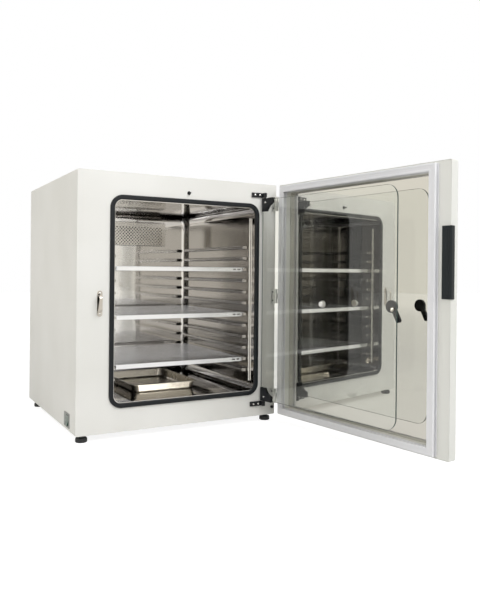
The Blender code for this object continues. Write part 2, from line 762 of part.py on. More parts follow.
def foot(name, centre):
    """Levelling foot: tapered rubber pad and neck on a threaded stem, part of which shows."""
    joint = pivot(name + "_axis", Vector((*centre, 0)))
    turned(name, centre, "Z",
           [(-FOOT_HEIGHT, FOOT_RADIUS), (-FOOT_HEIGHT * 0.66, FOOT_RADIUS),
            (-FOOT_HEIGHT * 0.40, FOOT_NECK * 1.3), (-FOOT_HEIGHT * 0.36, FOOT_NECK),
            (-FOOT_STEM_SHOWN, FOOT_NECK), (-FOOT_STEM_SHOWN, FOOT_STEM),
            (FOOT_STEM_LENGTH, FOOT_STEM)],
           black_rubber(), joint, sides=20)


def top_buttons():
    """Locating buttons pushed into holes near the corners of the case's top."""
    for name, centre in button_places().items():
        turned(name, centre, "Z",
               [(CASE_HEIGHT - CASE_SHEET, BUTTON_RADIUS),
                (CASE_HEIGHT + BUTTON_HEIGHT * 0.6, BUTTON_RADIUS),
                (CASE_HEIGHT + BUTTON_HEIGHT, BUTTON_RADIUS * 0.8)],
               material("grey_plastic", (0.35, 0.35, 0.34), 0.5))


def power_switch():
    """Recessed housing and rocker low on the left side."""
    grey = material("grey_plastic", (0.35, 0.35, 0.34), 0.5)
    low = FRONT + SWITCH_SETBACK
    outline = rounded(low, low + SWITCH_LENGTH, SWITCH_BOTTOM, SWITCH_BOTTOM + SWITCH_HEIGHT,
                      SWITCH_CORNER, 2)
    made = prism("switch_housing", outline, "X", -SIDE - BEZEL_FLANGE, -SIDE + SWITCH_DEPTH, grey)
    half = ROCKER_HEIGHT / 2 + ROCKER_SWING
    middle_y = low + BEZEL_LIP + ROCKER_OFFSET + ROCKER_LENGTH / 2
    middle_z = SWITCH_BOTTOM + SWITCH_HEIGHT / 2
    hollow = rounded(middle_y - ROCKER_LENGTH / 2 - ROCKER_CLEARANCE,
                     middle_y + ROCKER_LENGTH / 2 + ROCKER_CLEARANCE, middle_z - half,
                     middle_z + half, SWITCH_CORNER / 3, 2)
    axis_x = -SIDE + ROCKER_AXIS_DEPTH
    cut(made, prism("rocker_hollow", hollow, "X", -SIDE - 2 * BEZEL_FLANGE,
                    axis_x + ROCKER_BACK + ROCKER_SWING, None))
    joint = pivot("rocker_axis", Vector((axis_x, middle_y, middle_z)))
    tilt = radians(ROCKER_TILT)
    reach = ROCKER_HEIGHT / 2
    tip = ROCKER_AXIS_DEPTH + ROCKER_PROUD
    level = [(reach * sin(tilt) / cos(tilt) - tip, 0.0), (-tip, -reach), (0.0, -reach * 0.92),
             (ROCKER_BACK, 0.0), (0.0, reach * 0.92), (-tip, reach)]
    loops = [[(axis_x + x * cos(tilt) + z * sin(tilt), y, middle_z - x * sin(tilt) + z * cos(tilt))
              for x, z in level]
             for y in (middle_y - ROCKER_LENGTH / 2, middle_y + ROCKER_LENGTH / 2)]
    rocker = loft("power_rocker", loops,
                  material("green_plastic", (0.030, 0.085, 0.055), 0.35), joint)
    axle_half = ROCKER_LENGTH / 2 + ROCKER_CLEARANCE - SEAT
    join(rocker, turned("rocker_axle", (axis_x, middle_z), "Y",
                        [(middle_y - axle_half, ROCKER_AXLE_RADIUS),
                         (middle_y + axle_half, ROCKER_AXLE_RADIUS)], None, joint, sides=10))


def door_switch():
    """Sprung pin in a round bush above the chamber's mouth."""
    bush = turned("plunger_bush", (PLUNGER_X, PLUNGER_Z), "Y",
                  [(FRONT - SEAT, PLUNGER_BUSH_RADIUS),
                   (FRONT - SEAT - PLUNGER_BUSH, PLUNGER_BUSH_RADIUS * 0.85)], black_plastic())
    cut(bush, plunger_hole_in_bush())
    joint = pivot("plunger_slide", Vector((PLUNGER_X, FRONT, PLUNGER_Z)))
    turned("door_plunger", (PLUNGER_X, PLUNGER_Z), "Y",
           [(FRONT - PLUNGER_PROUD, PLUNGER_RADIUS * 0.6),
            (FRONT - PLUNGER_PROUD * 0.95, PLUNGER_RADIUS),
            (FRONT + PLUNGER_HIDDEN, PLUNGER_RADIUS)], black_plastic(), joint, sides=12)


def plunger_hole_in_bush():
    radius = PLUNGER_RADIUS + PLUNGER_CLEARANCE
    return turned("bush_hole", (PLUNGER_X, PLUNGER_Z), "Y",
                  [(FRONT - 2 * PLUNGER_BUSH, radius), (FRONT + PLUNGER_BUSH, radius)], None)


def bail_path(grow):
    """The bent strap's side view, from its lower leg to its upper one, moved out by grow."""
    near = FRONT - SEAT - KEEPER_SHEET / 2
    far = FRONT - BAIL_REACH
    path = [(near, LATCH_Z - BAIL_SPAN / 2 - grow)]
    for middle_z, start in ((LATCH_Z - BAIL_SPAN / 2 + BAIL_CORNER, 0),
                            (LATCH_Z + BAIL_SPAN / 2 - BAIL_CORNER, 1)):
        for step in range(4):
            angle = pi / 2 * (start + step / 3)
            path.append((far + BAIL_CORNER - (BAIL_CORNER + grow) * sin(angle),
                         middle_z - (BAIL_CORNER + grow) * cos(angle)))
    return path + [(near, LATCH_Z + BAIL_SPAN / 2 + grow)]


def keeper():
    """Plate with round ends and a bent strap that the latch's eccentric knob turns behind."""
    half = KEEPER_WIDTH / 2
    outline = rounded(KEEPER_X - half, KEEPER_X + half, LATCH_Z - KEEPER_LENGTH / 2,
                      LATCH_Z + KEEPER_LENGTH / 2, half * 0.98)
    made = prism("keeper", outline, "Y", FRONT - SEAT - KEEPER_SHEET, FRONT - SEAT, stainless())
    strap = bail_path(0) + list(reversed(bail_path(-BAIL_SHEET)))
    join(made, prism("keeper_bail", strap, "X", BAIL_X - BAIL_WIDTH / 2, BAIL_X + BAIL_WIDTH / 2,
                     None))


def glass_hinge(name, outwards):
    """Fixed bar on the front panel with an eye and a pin that carries the glass clamp."""
    clamp_edge = GLASS_TOP + CLAMP_OVERHANG if outwards > 0 else GLASS_BOTTOM - CLAMP_OVERHANG
    near = clamp_edge + outwards * BAR_GAP
    far = near + outwards * BAR_HEIGHT
    right = GLASS_AXIS_X + BAR_EYE + 2 * SEAT
    outline = [(right - BAR_LENGTH, FRONT - SEAT - BAR_DEPTH),
               (GLASS_AXIS_X - BAR_EYE, FRONT - SEAT - BAR_DEPTH)]
    for step in range(9):
        angle = pi + pi * step / 8
        outline.append((GLASS_AXIS_X + BAR_EYE * cos(angle), GLASS_AXIS.y + BAR_EYE * sin(angle)))
    outline += [(right, FRONT - SEAT), (right - BAR_LENGTH, FRONT - SEAT)]
    made = prism(name, outline, "Z", min(near, far), max(near, far), black_plastic())
    tip = clamp_edge - outwards * PIVOT_DEPTH
    middle = (near + far) / 2
    join(made, turned(name + "_pin", (GLASS_AXIS_X, GLASS_AXIS.y), "Z",
                      [(min(tip, middle), PIVOT_RADIUS), (max(tip, middle), PIVOT_RADIUS)], None,
                      sides=12))


def pane_outline(grow):
    return rounded(GLASS_LEFT - grow, GLASS_RIGHT + grow, GLASS_BOTTOM - grow, GLASS_TOP + grow,
                   (GLASS_CORNER + grow, GLASS_HINGE_CORNER, GLASS_HINGE_CORNER,
                    GLASS_CORNER + grow))


def glass_pane(joint):
    """Toughened pane with round free corners and holes for the latch and the port plug."""
    glass = material("glass", (0.55, 0.66, 0.62), 0.05, 0.0, 0.35)
    made = prism("glass_pane", pane_outline(0), "Y", GLASS_OUTSIDE, GLASS_INSIDE, glass, joint)
    low = GLASS_OUTSIDE - GLASS_THICKNESS
    high = GLASS_INSIDE + GLASS_THICKNESS
    for name, centre, radius in (
            ("latch_hole", (LATCH_X, LATCH_Z), LATCH_SHAFT_RADIUS + SEAT),
            ("plug_hole", (PLUG_X, PLUG_Z), PLUG_RADIUS + PLUG_CLEARANCE)):
        cut(made, turned(name, centre, "Y", [(low, radius), (high, radius)], None, joint))


def clamp(name, outwards, joint):
    """Clamp on the pane's hinge corner; its concave edge clears the chamber gasket."""
    outside = GASKET_WIDTH - GASKET_LAP
    seal_radius = CHAMBER_CORNER + outside
    seal_x = CHAMBER_X + CHAMBER_WIDTH / 2 + outside - seal_radius
    seal_z = CHAMBER_Z + outwards * (CHAMBER_HEIGHT / 2 + outside - seal_radius)
    edge = GLASS_TOP + CLAMP_OVERHANG if outwards > 0 else GLASS_BOTTOM - CLAMP_OVERHANG
    inner = edge - outwards * CLAMP_HEIGHT
    reach = seal_radius + CLAMP_SEAL_GAP
    right = GLASS_RIGHT
    left = right - CLAMP_LENGTH
    points = [(right, inner), (right, edge), (left, edge)]
    rise = abs(inner - seal_z)
    start_angle = pi / 2 - (left - seal_x) / reach if left > seal_x else pi / 2
    end_angle = rise / reach
    for step in range(7):
        angle = start_angle + (end_angle - start_angle) * step / 6
        points.append((max(seal_x + reach * cos(angle), left),
                       seal_z + outwards * reach * sin(angle)))
    points.append((seal_x + (reach ** 2 - rise ** 2) ** 0.5, inner))
    low = GLASS_OUTSIDE - CLAMP_WALL
    high = GLASS_INSIDE + CLAMP_WALL - SEAT
    made = prism(name, points, "Y", low, high, black_plastic(), joint)
    slot = [place(pane_outline(SEAT), "Y", level)
            for level in (GLASS_OUTSIDE - SEAT, GLASS_INSIDE + SEAT)]
    cut(made, loft(name + "_slot", slot, None, joint))
    bottom = edge - outwards * (CLAMP_OVERHANG - SEAT)
    radius = PIVOT_RADIUS + PIVOT_CLEARANCE
    levels = sorted((bottom, edge + outwards * CLAMP_WALL))
    cut(made, turned(name + "_bore", (GLASS_AXIS_X, GLASS_AXIS.y), "Z",
                     [(levels[0], radius), (levels[1], radius)], None, joint, sides=12))


def latch(glass_joint):
    """Eccentric knob with a flat lever outside the pane; its shaft has a nut inside the pane."""
    joint = pivot("latch_axis", Vector((LATCH_X, GLASS_OUTSIDE, LATCH_Z)), 0, glass_joint)
    near = GLASS_OUTSIDE - 3 * SEAT
    knob_lean = radians(KNOB_LEAN)
    knob_middle = (LATCH_X + KNOB_ECCENTRIC * sin(knob_lean),
                   LATCH_Z + KNOB_ECCENTRIC * cos(knob_lean))
    made = turned("latch", knob_middle, "Y",
                  [(near - KNOB_THICKNESS, KNOB_RADIUS * 0.86),
                   (near - KNOB_THICKNESS * 0.85, KNOB_RADIUS), (near, KNOB_RADIUS)],
                  black_plastic(), joint, sides=24)
    lean = radians(LATCH_REST)
    along = Vector((-sin(lean), -cos(lean)))
    across = Vector((cos(lean), -sin(lean)))
    half = LEVER_WIDTH / 2
    middle = Vector((LATCH_X, LATCH_Z))
    lever = [middle + across * half, middle - across * half]
    for step in range(7):
        angle = pi * step / 6
        end = middle + along * (LEVER_LENGTH - half)
        lever.append(end - across * half * cos(angle) + along * half * sin(angle))
    join(made, prism("latch_lever", [tuple(point) for point in lever], "Y",
                     near - LEVER_THICKNESS, near - SEAT, None, joint))
    inside = GLASS_INSIDE + SEAT
    join(made, turned("latch_shaft", (LATCH_X, LATCH_Z), "Y",
                      [(near - KNOB_THICKNESS / 2, LATCH_SHAFT_RADIUS),
                       (inside + LATCH_WASHER_THICKNESS / 2, LATCH_SHAFT_RADIUS)], None, joint,
                      sides=12))
    join(made, turned("latch_washer", (LATCH_X, LATCH_Z), "Y",
                      [(inside, LATCH_WASHER_RADIUS),
                       (inside + LATCH_WASHER_THICKNESS, LATCH_WASHER_RADIUS * 0.9)], None,
                      joint, sides=12))


def port_plug(glass_joint):
    """White plug in the pane's sampling hole, pulled out towards the outer door."""
    joint = pivot("plug_slide", Vector((PLUG_X, GLASS_OUTSIDE, PLUG_Z)), 0, glass_joint)
    face = GLASS_OUTSIDE - SEAT
    made = turned("port_plug", (PLUG_X, PLUG_Z), "Y",
                  [(face - PLUG_FLANGE, PLUG_FLANGE_RADIUS * 0.8),
                   (face - PLUG_FLANGE * 0.7, PLUG_FLANGE_RADIUS), (face, PLUG_FLANGE_RADIUS),
                   (face, PLUG_RADIUS), (GLASS_INSIDE + PLUG_STEM_PAST, PLUG_RADIUS * 0.94)],
                  material("white_rubber", (0.72, 0.71, 0.68), 0.55), joint, sides=20)
    return made


def door_loop(inset, level, corner=None):
    radius = max(CASE_CORNER - inset, SEAT) if corner is None else corner
    outline = rounded(-SIDE + inset, SIDE - inset, inset, CASE_HEIGHT - inset, radius)
    return place(outline, "Y", level)


def door_edge_loops(skin):
    """The door's rounded outer edge moved inwards by the skin, from its side to its face."""
    radius = DOOR_EDGE_ROUND - skin
    corner = max(CASE_CORNER - skin, SEAT)
    loops = []
    for step in range(4):
        angle = pi / 2 * step / 3
        loops.append(door_loop(skin + radius * (1 - cos(angle)),
                               DOOR_OUTSIDE + skin + radius * (1 - sin(angle)), corner))
    return loops


def door_shell(joint):
    """Painted door pan, open towards the case, with a rounded outer edge."""
    inside = list(reversed(door_edge_loops(DOOR_SHEET))) + [door_loop(DOOR_SHEET, DOOR_FACE)]
    outside = [door_loop(0, DOOR_FACE)] + door_edge_loops(0)
    loft("door_shell", inside + outside, case_paint(), joint)


def recess_loop(grow, level, corner=RECESS_CORNER):
    outline = rounded(SEAL_LEFT + SEAL_WIDTH - grow, SEAL_RIGHT - SEAL_WIDTH + grow,
                      SEAL_BOTTOM + SEAL_WIDTH - grow, SEAL_TOP - SEAL_WIDTH + grow, corner)
    return place(outline, "Y", level)


def door_frame(joint):
    """Painted inner face round the recess, folded back to hold the mirror-bright panel."""
    back = DOOR_FACE - RECESS_DEPTH + SEAT
    rim = DOOR_SHEET + SEAT
    fold_corner = RECESS_CORNER + DOOR_SHEET
    loops = [door_loop(rim, DOOR_FACE), recess_loop(0, DOOR_FACE), recess_loop(0, back),
             recess_loop(DOOR_SHEET, back, fold_corner),
             recess_loop(DOOR_SHEET, DOOR_FACE - DOOR_SHEET, fold_corner),
             door_loop(rim, DOOR_FACE - DOOR_SHEET)]
    loft("door_frame", loops, case_paint(), joint, ring=True)


def door_inside(joint):
    """Polished inner panel at the bottom of the recess, and the foam behind it."""
    face = DOOR_FACE - RECESS_DEPTH
    loft("mirror_panel", [recess_loop(MIRROR_LAP, face), recess_loop(MIRROR_LAP,
                                                                     face - MIRROR_SHEET)],
         stainless(), joint)
    inset = DOOR_SHEET + SEAT
    front = door_loop(inset, face - MIRROR_SHEET - SEAT)
    loft("door_foam", [front] + door_edge_loops(inset), foam(), joint)


def magnetic_seal(joint):
    """Magnetic seal moulding: foot, folded bellows waist and magnet strip."""
    base = DOOR_FACE + SEAT
    face = FRONT - SEAT
    height = face - base
    outer_side = [(0, 0), (0, 0.16), (SEAL_WAIST, 0.30), (SEAL_BELLOWS, 0.52),
                  (SEAL_MAGNET_INSET, 0.62), (SEAL_MAGNET_INSET, 1.0)]
    inner_side = [(SEAL_WIDTH - inset, share) for inset, share in reversed(outer_side)]
    loops = []
    for inset, share in outer_side + inner_side:
        corner = max(SEAL_CORNER - inset, SEAL_MAGNET_INSET)
        outline = rounded(SEAL_LEFT + inset, SEAL_RIGHT - inset, SEAL_BOTTOM + inset,
                          SEAL_TOP - inset, corner, 2)
        loops.append(place(outline, "Y", base + share * height))
    loft("magnetic_seal", loops, material("seal_grey", (0.66, 0.66, 0.68), 0.55), joint,
         ring=True)


def door_grip(joint):
    """Black moulded grip folded round the door's free edge, with a finger groove."""
    left = -SIDE - SEAT
    inner_face = DOOR_FACE + SEAT
    outer_face = DOOR_OUTSIDE - SEAT
    wall = GRIP_WALL
    reach = -SIDE + GRIP_REACH
    middle_y = (DOOR_FACE + DOOR_OUTSIDE) / 2
    half = GRIP_GROOVE_WIDTH / 2
    outline = [(reach, inner_face), (reach, inner_face + wall * 0.6),
               (reach - GRIP_EDGE, inner_face + wall),
               (left - wall + GRIP_EDGE, inner_face + wall),
               (left - wall, inner_face + wall - GRIP_EDGE), (left - wall, middle_y + half),
               (left - wall + GRIP_GROOVE_DEPTH, middle_y + half - GRIP_EDGE),
               (left - wall + GRIP_GROOVE_DEPTH, middle_y - half + GRIP_EDGE),
               (left - wall, middle_y - half), (left - wall, outer_face - wall + GRIP_EDGE),
               (left - wall + GRIP_EDGE, outer_face - wall),
               (reach - GRIP_EDGE, outer_face - wall), (reach, outer_face - wall * 0.6),
               (reach, outer_face), (left, outer_face), (left, inner_face)]
    prism("door_grip", outline, "Z", GRIP_BOTTOM, GRIP_TOP, black_plastic(), joint)


def control_panel(joint):
    """Smooth key panel with its display window, on the door's outer face."""
    face = DOOR_OUTSIDE - SEAT
    outline = rounded(-PANEL_WIDTH / 2, PANEL_WIDTH / 2, PANEL_Z - PANEL_HEIGHT / 2,
                      PANEL_Z + PANEL_HEIGHT / 2, PANEL_CORNER)
    prism("control_panel", outline, "Y", face - PANEL_THICKNESS, face,
          material("grey_plastic", (0.35, 0.35, 0.34), 0.5), joint)
    window = rounded(-DISPLAY_WIDTH / 2, DISPLAY_WIDTH / 2, PANEL_Z - DISPLAY_HEIGHT / 2,
                     PANEL_Z + DISPLAY_HEIGHT / 2, DISPLAY_CORNER, 3)
    front = face - PANEL_THICKNESS - SEAT
    prism("display_window", window, "Y", front - DISPLAY_THICKNESS, front,
          material("display_black", (0.02, 0.02, 0.024), 0.08), joint)


def leaf(name, surface, direction, bottom, joint=None):
    """One hinge leaf flat on its surface, before its knuckles are joined to it."""
    start = surface + direction * SEAT
    end = start + direction * HINGE_LEAF
    right = SIDE - HINGE_LEAF / 2
    outline = rounded(SIDE - HINGE_REACH, right, min(start, end), max(start, end), 0.0002, 1)
    return prism(name, outline, "Z", bottom, bottom + HINGE_LENGTH, chrome(), joint)


def knuckle(name, surface, direction, low, high, joint=None):
    """A barrel length on the axis with the web that ties it to its leaf."""
    barrel = turned(name, (DOOR_AXIS.x, DOOR_AXIS.y), "Z",
                    [(low, KNUCKLE_RADIUS), (high, KNUCKLE_RADIUS)], None, joint, sides=14)
    start = surface + direction * SEAT * 2
    web = [(SIDE - HINGE_LEAF * 2, start), (SIDE - HINGE_LEAF * 0.6, start),
           (SIDE - HINGE_LEAF * 0.6, DOOR_AXIS.y - direction * SEAT),
           (SIDE - HINGE_LEAF * 2, DOOR_AXIS.y - direction * SEAT)]
    return barrel, prism(name + "_web", web, "Z", low, high, None, joint)


def butt_hinge(number, bottom, door_joint):
    """Case leaf with two end knuckles and the pin; door leaf with the middle knuckle."""
    low_end = bottom + HINGE_END_KNUCKLE
    high_end = bottom + HINGE_LENGTH - HINGE_END_KNUCKLE
    case_leaf = leaf(f"case_leaf_{number}", FRONT, -1, bottom)
    for label, low, high in (("lower", bottom, low_end), ("upper", high_end,
                                                          bottom + HINGE_LENGTH)):
        for shape in knuckle(f"case_{label}_{number}", FRONT, -1, low, high):
            join(case_leaf, shape)
    join(case_leaf, turned(f"hinge_pin_{number}", (DOOR_AXIS.x, DOOR_AXIS.y), "Z",
                           [(bottom + SEAT, HINGE_PIN_RADIUS),
                            (bottom + HINGE_LENGTH - SEAT, HINGE_PIN_RADIUS)], None, sides=12))
    door_leaf = leaf(f"door_leaf_{number}", DOOR_FACE, 1, bottom, door_joint)
    for shape in knuckle(f"door_middle_{number}", DOOR_FACE, 1, low_end + SEAT, high_end - SEAT,
                         door_joint):
        join(door_leaf, shape)
    bore = HINGE_PIN_RADIUS + HINGE_BORE_CLEARANCE
    cut(door_leaf, turned(f"hinge_bore_{number}", (DOOR_AXIS.x, DOOR_AXIS.y), "Z",
                          [(bottom, bore), (bottom + HINGE_LENGTH, bore)], None, door_joint,
                          sides=12))


def glands(door_joint):
    """Round wiring glands: one on the front panel, one facing it on the door."""
    base = FRONT - SEAT
    tip = base - GLAND_LENGTH
    middle = tip + GLAND_RADIUS
    profile = [(base, GLAND_STEM * 1.5), (base - 0.0012, GLAND_STEM * 1.5),
               (base - 0.0014, GLAND_STEM)]
    for step in range(5):
        angle = radians(55 - 35 * step)
        profile.append((middle + GLAND_RADIUS * sin(angle), GLAND_RADIUS * cos(angle)))
    turned("case_gland", (GLAND_X, GLAND_Z), "Y", profile, black_plastic(), sides=14)
    start = DOOR_FACE + SEAT
    turned("door_gland", (GLAND_X, GLAND_Z), "Y",
           [(start, GLAND_RADIUS), (start + 0.0015, GLAND_RADIUS), (start + 0.002, GLAND_STEM),
            (start + DOOR_GLAND_LENGTH, GLAND_STEM)], black_plastic(), door_joint, sides=14)


def rear_fittings():
    """Control box and motor space behind the foam, mains inlet and gas inlet outside."""
    start = BODY_BACK + SEAT
    outline = rounded(BOX_X - BOX_WIDTH / 2, BOX_X + BOX_WIDTH / 2, BOX_Z - BOX_HEIGHT / 2,
                      BOX_Z + BOX_HEIGHT / 2, BOX_CORNER, 2)
    prism("control_box", outline, "Y", start, start + BOX_DEPTH,
          material("zinc", (0.55, 0.55, 0.55), 0.4, 1.0))
    face = REAR + SEAT
    frame = rounded(INLET_X - INLET_WIDTH / 2, INLET_X + INLET_WIDTH / 2,
                    INLET_Z - INLET_HEIGHT / 2, INLET_Z + INLET_HEIGHT / 2, INLET_CORNER, 2)
    inlet = prism("mains_inlet", frame, "Y", face, face + INLET_DEPTH, black_plastic())
    hollow = rounded(INLET_X - INLET_WIDTH / 2 + INLET_WALL, INLET_X + INLET_WIDTH / 2 - INLET_WALL,
                     INLET_Z - INLET_HEIGHT / 2 + INLET_WALL,
                     INLET_Z + INLET_HEIGHT / 2 - INLET_WALL, INLET_CORNER, 2)
    cut(inlet, prism("inlet_hollow", hollow, "Y", face + INLET_DEPTH * 0.3,
                     face + 2 * INLET_DEPTH, None))
    barbs = [(face, GAS_BARB * 1.5), (face + 0.006, GAS_BARB * 1.5), (face + 0.006, GAS_RADIUS)]
    first = face + 0.010
    pitch = (GAS_LENGTH - 0.010) / 3
    for index in range(3):
        barbs += [(first + index * pitch, GAS_BARB), (first + (index + 0.9) * pitch, GAS_RADIUS)]
    turned("gas_inlet", (GAS_X, GAS_Z), "Y", barbs, chrome(), sides=12)


def build():
    for old in list(bpy.data.objects):
        bpy.data.objects.remove(old, do_unlink=True)
    outer_case()
    front_panel()
    rear_panel()
    insulation()
    chamber_liner()
    chamber_gasket()
    rack("rack_left", -1)
    rack("rack_right", 1)
    for name, rib in SHELF_RIBS.items():
        shelf(name, rib)
    fan_cover()
    fan_wheel()
    fan_motor()
    sensor_probe()
    water_pan()
    for name, centre in foot_places().items():
        foot(name, centre)
    top_buttons()
    power_switch()
    door_switch()
    keeper()
    glass_hinge("glass_hinge_top", 1)
    glass_hinge("glass_hinge_bottom", -1)
    rear_fittings()

    glass_joint = pivot("glass_axis", GLASS_AXIS, GLASS_OPEN)
    glass_pane(glass_joint)
    clamp("clamp_top", 1, glass_joint)
    clamp("clamp_bottom", -1, glass_joint)
    latch(glass_joint)
    port_plug(glass_joint)

    door_joint = pivot("door_axis", DOOR_AXIS, DOOR_OPEN)
    door_shell(door_joint)
    door_frame(door_joint)
    door_inside(door_joint)
    magnetic_seal(door_joint)
    door_grip(door_joint)
    control_panel(door_joint)
    glands(door_joint)
    for number, bottom in enumerate(HINGE_BOTTOMS, start=1):
        butt_hinge(number, bottom, door_joint)


build()
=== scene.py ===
"""Looks of a carbon dioxide incubator with both doors open."""
import json
from math import pi, radians

import bmesh
import bpy
from mathutils import Matrix, Vector


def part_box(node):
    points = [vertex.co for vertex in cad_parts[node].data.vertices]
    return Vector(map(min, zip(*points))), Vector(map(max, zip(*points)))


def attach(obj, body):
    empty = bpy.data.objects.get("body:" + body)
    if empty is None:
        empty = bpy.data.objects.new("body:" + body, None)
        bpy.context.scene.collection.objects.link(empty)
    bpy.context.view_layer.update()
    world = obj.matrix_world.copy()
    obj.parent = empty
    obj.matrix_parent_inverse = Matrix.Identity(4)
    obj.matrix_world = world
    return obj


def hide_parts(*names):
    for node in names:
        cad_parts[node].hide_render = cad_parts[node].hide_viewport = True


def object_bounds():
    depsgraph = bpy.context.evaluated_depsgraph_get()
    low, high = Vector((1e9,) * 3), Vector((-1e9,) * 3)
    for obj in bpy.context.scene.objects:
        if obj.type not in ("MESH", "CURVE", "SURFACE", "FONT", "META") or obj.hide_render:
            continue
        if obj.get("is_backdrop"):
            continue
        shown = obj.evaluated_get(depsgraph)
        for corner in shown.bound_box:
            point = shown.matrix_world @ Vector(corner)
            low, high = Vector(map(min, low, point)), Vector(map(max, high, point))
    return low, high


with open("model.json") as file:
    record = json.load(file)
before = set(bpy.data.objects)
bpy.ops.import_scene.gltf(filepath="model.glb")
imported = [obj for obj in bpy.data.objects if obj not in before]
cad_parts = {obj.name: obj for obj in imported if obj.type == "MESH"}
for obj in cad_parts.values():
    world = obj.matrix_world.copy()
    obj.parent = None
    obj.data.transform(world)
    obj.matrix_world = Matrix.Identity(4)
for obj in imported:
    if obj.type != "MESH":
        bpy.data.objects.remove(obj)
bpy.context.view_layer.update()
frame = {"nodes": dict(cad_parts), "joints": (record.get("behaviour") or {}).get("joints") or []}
nodes = frame["nodes"]
scene = bpy.context.scene


# Case wrap, front and rear panels, and the door's shell and frame
# Folded steel sheet with a baked powder coat: off-white, satin, with the shallow orange peel that
# such a coat has. The panels are screwed together from behind, so no fixing shows.
PEEL_SIZE = 0.0035
PEEL_DEPTH = 0.0004
SHADE_SIZE = 0.25
FOLD_ROUND = 0.0007
# Loose corners this near to each other are merged.
WELD = 2e-5


def linear(colour):
    """An sRGB hex colour as linear light."""
    parts = [int(colour[at:at + 2], 16) / 255 for at in (1, 3, 5)]
    return tuple(part / 12.92 if part <= 0.04045 else ((part + 0.055) / 1.055) ** 2.4
                 for part in parts)


def new_material(name, colour, roughness, metallic=0.0, **sockets):
    """A principled surface with its plain values on its own sockets."""
    made = bpy.data.materials.new(name)
    made.use_nodes = True
    shader = made.node_tree.nodes["Principled BSDF"]
    shader.inputs["Base Color"].default_value = (*linear(colour), 1.0)
    shader.inputs["Roughness"].default_value = roughness
    shader.inputs["Metallic"].default_value = metallic
    for name_of, value in sockets.items():
        shader.inputs[name_of.replace("_", " ")].default_value = value
    return made


def add_node(made, kind, settings=None, links=None):
    """Add a node to a material, set its values and link its inputs."""
    tree = made.node_tree
    node = tree.nodes.new(kind)
    for key, value in (settings or {}).items():
        if key in node.inputs:
            node.inputs[key].default_value = value
        else:
            setattr(node, key, value)
    for key, source in (links or {}).items():
        tree.links.new(source, node.inputs[key])
    return node


def surface_noise(made, size, detail=3.0):
    """Noise of a real size on the piece's own coordinates."""
    place = add_node(made, "ShaderNodeTexCoord").outputs["Object"]
    return add_node(made, "ShaderNodeTexNoise", {"Scale": 1 / size, "Detail": detail},
                    {"Vector": place}).outputs["Fac"]


def feed(made, socket, source):
    """Let a pattern set one socket of a surface."""
    made.node_tree.links.new(source, made.node_tree.nodes["Principled BSDF"].inputs[socket])


def add_bump(made, height, strength, distance):
    """Raise and lower a surface by a pattern, over a real depth."""
    bump = add_node(made, "ShaderNodeBump", {"Strength": strength, "Distance": distance},
                    {"Height": height})
    feed(made, "Normal", bump.outputs["Normal"])


def vary_colour(made, factor, first, second):
    """Let a pattern shade the colour between two tones."""
    ramp = add_node(made, "ShaderNodeValToRGB", links={"Fac": factor})
    for stop, place, colour in zip(ramp.color_ramp.elements, (0.35, 0.65), (first, second)):
        stop.position = place
        stop.color = (*linear(colour), 1.0)
    feed(made, "Base Color", ramp.outputs["Color"])


def vary_roughness(made, factor, low, high):
    """Let a pattern spread the roughness between two values."""
    spread = add_node(made, "ShaderNodeMapRange", {"To Min": low, "To Max": high},
                      {"Value": factor})
    feed(made, "Roughness", spread.outputs["Result"])


def powder_coat(name, first, second, roughness):
    """Baked powder coat: a soft satin sheen broken by shallow orange peel."""
    made = new_material(name, first, roughness)
    vary_colour(made, surface_noise(made, SHADE_SIZE, 2.0), first, second)
    peel = surface_noise(made, PEEL_SIZE, 2.0)
    add_bump(made, peel, 0.06, PEEL_DEPTH)
    vary_roughness(made, peel, roughness - 0.03, roughness + 0.04)
    return made


case_coat = powder_coat("powder_coated_steel", "#E5E4E0", "#DFDED9", 0.42)
door_coat = powder_coat("powder_coated_door", "#DFDFDA", "#DCDCD6", 0.40)


def sharp_edges(made, angle):
    """Edges between two faces that meet at more than an angle in degrees."""
    return [edge for edge in made.edges if edge.calc_face_angle(0.0) > radians(angle)]


def round_edges(made, edges, radius, segments):
    """Round edges to a radius."""
    bmesh.ops.bevel(made, geom=edges, offset=radius, offset_type="OFFSET", segments=segments,
                    profile=0.5, affect="EDGES", material=-1, clamp_overlap=True)


def add_piece(name, made, surface, body, replaced=None, turn=None, smooth=35,
              sheet=None):
    """Make a bmesh a finished piece that rides on its body; sheet is its thickness and side."""
    if turn is not None:
        bmesh.ops.transform(made, matrix=turn, verts=made.verts)
    mesh = bpy.data.meshes.new(name)
    made.to_mesh(mesh)
    made.free()
    for one in surface if isinstance(surface, tuple) else (surface,):
        mesh.materials.append(one)
    if smooth:
        mesh.shade_smooth()
        mesh.set_sharp_from_angle(angle=radians(smooth))
    piece = bpy.data.objects.new(name, mesh)
    scene.collection.objects.link(piece)
    if sheet:
        thick = piece.modifiers.new("sheet", "SOLIDIFY")
        thick.thickness, thick.offset = sheet
    if smooth:
        even = piece.modifiers.new("flat_faces", "WEIGHTED_NORMAL")
        even.keep_sharp = True
    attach(piece, body)
    if replaced:
        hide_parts(replaced)


def whole_faces(made):
    """Merge loose triangles into whole flat faces."""
    bmesh.ops.remove_doubles(made, verts=made.verts, dist=WELD)
    bmesh.ops.dissolve_limit(made, angle_limit=radians(1), verts=made.verts, edges=made.edges)


def eased_copy(node, surface, body, ease, sharp=40):
    """A node's own shape, merged, with its sharp edges eased as folded or moulded edges are."""
    made = bmesh.new()
    made.from_mesh(nodes[node].data)
    whole_faces(made)
    round_edges(made, sharp_edges(made, sharp), ease, 2)
    add_piece("finished_" + node, made, surface, body, node, smooth=sharp)


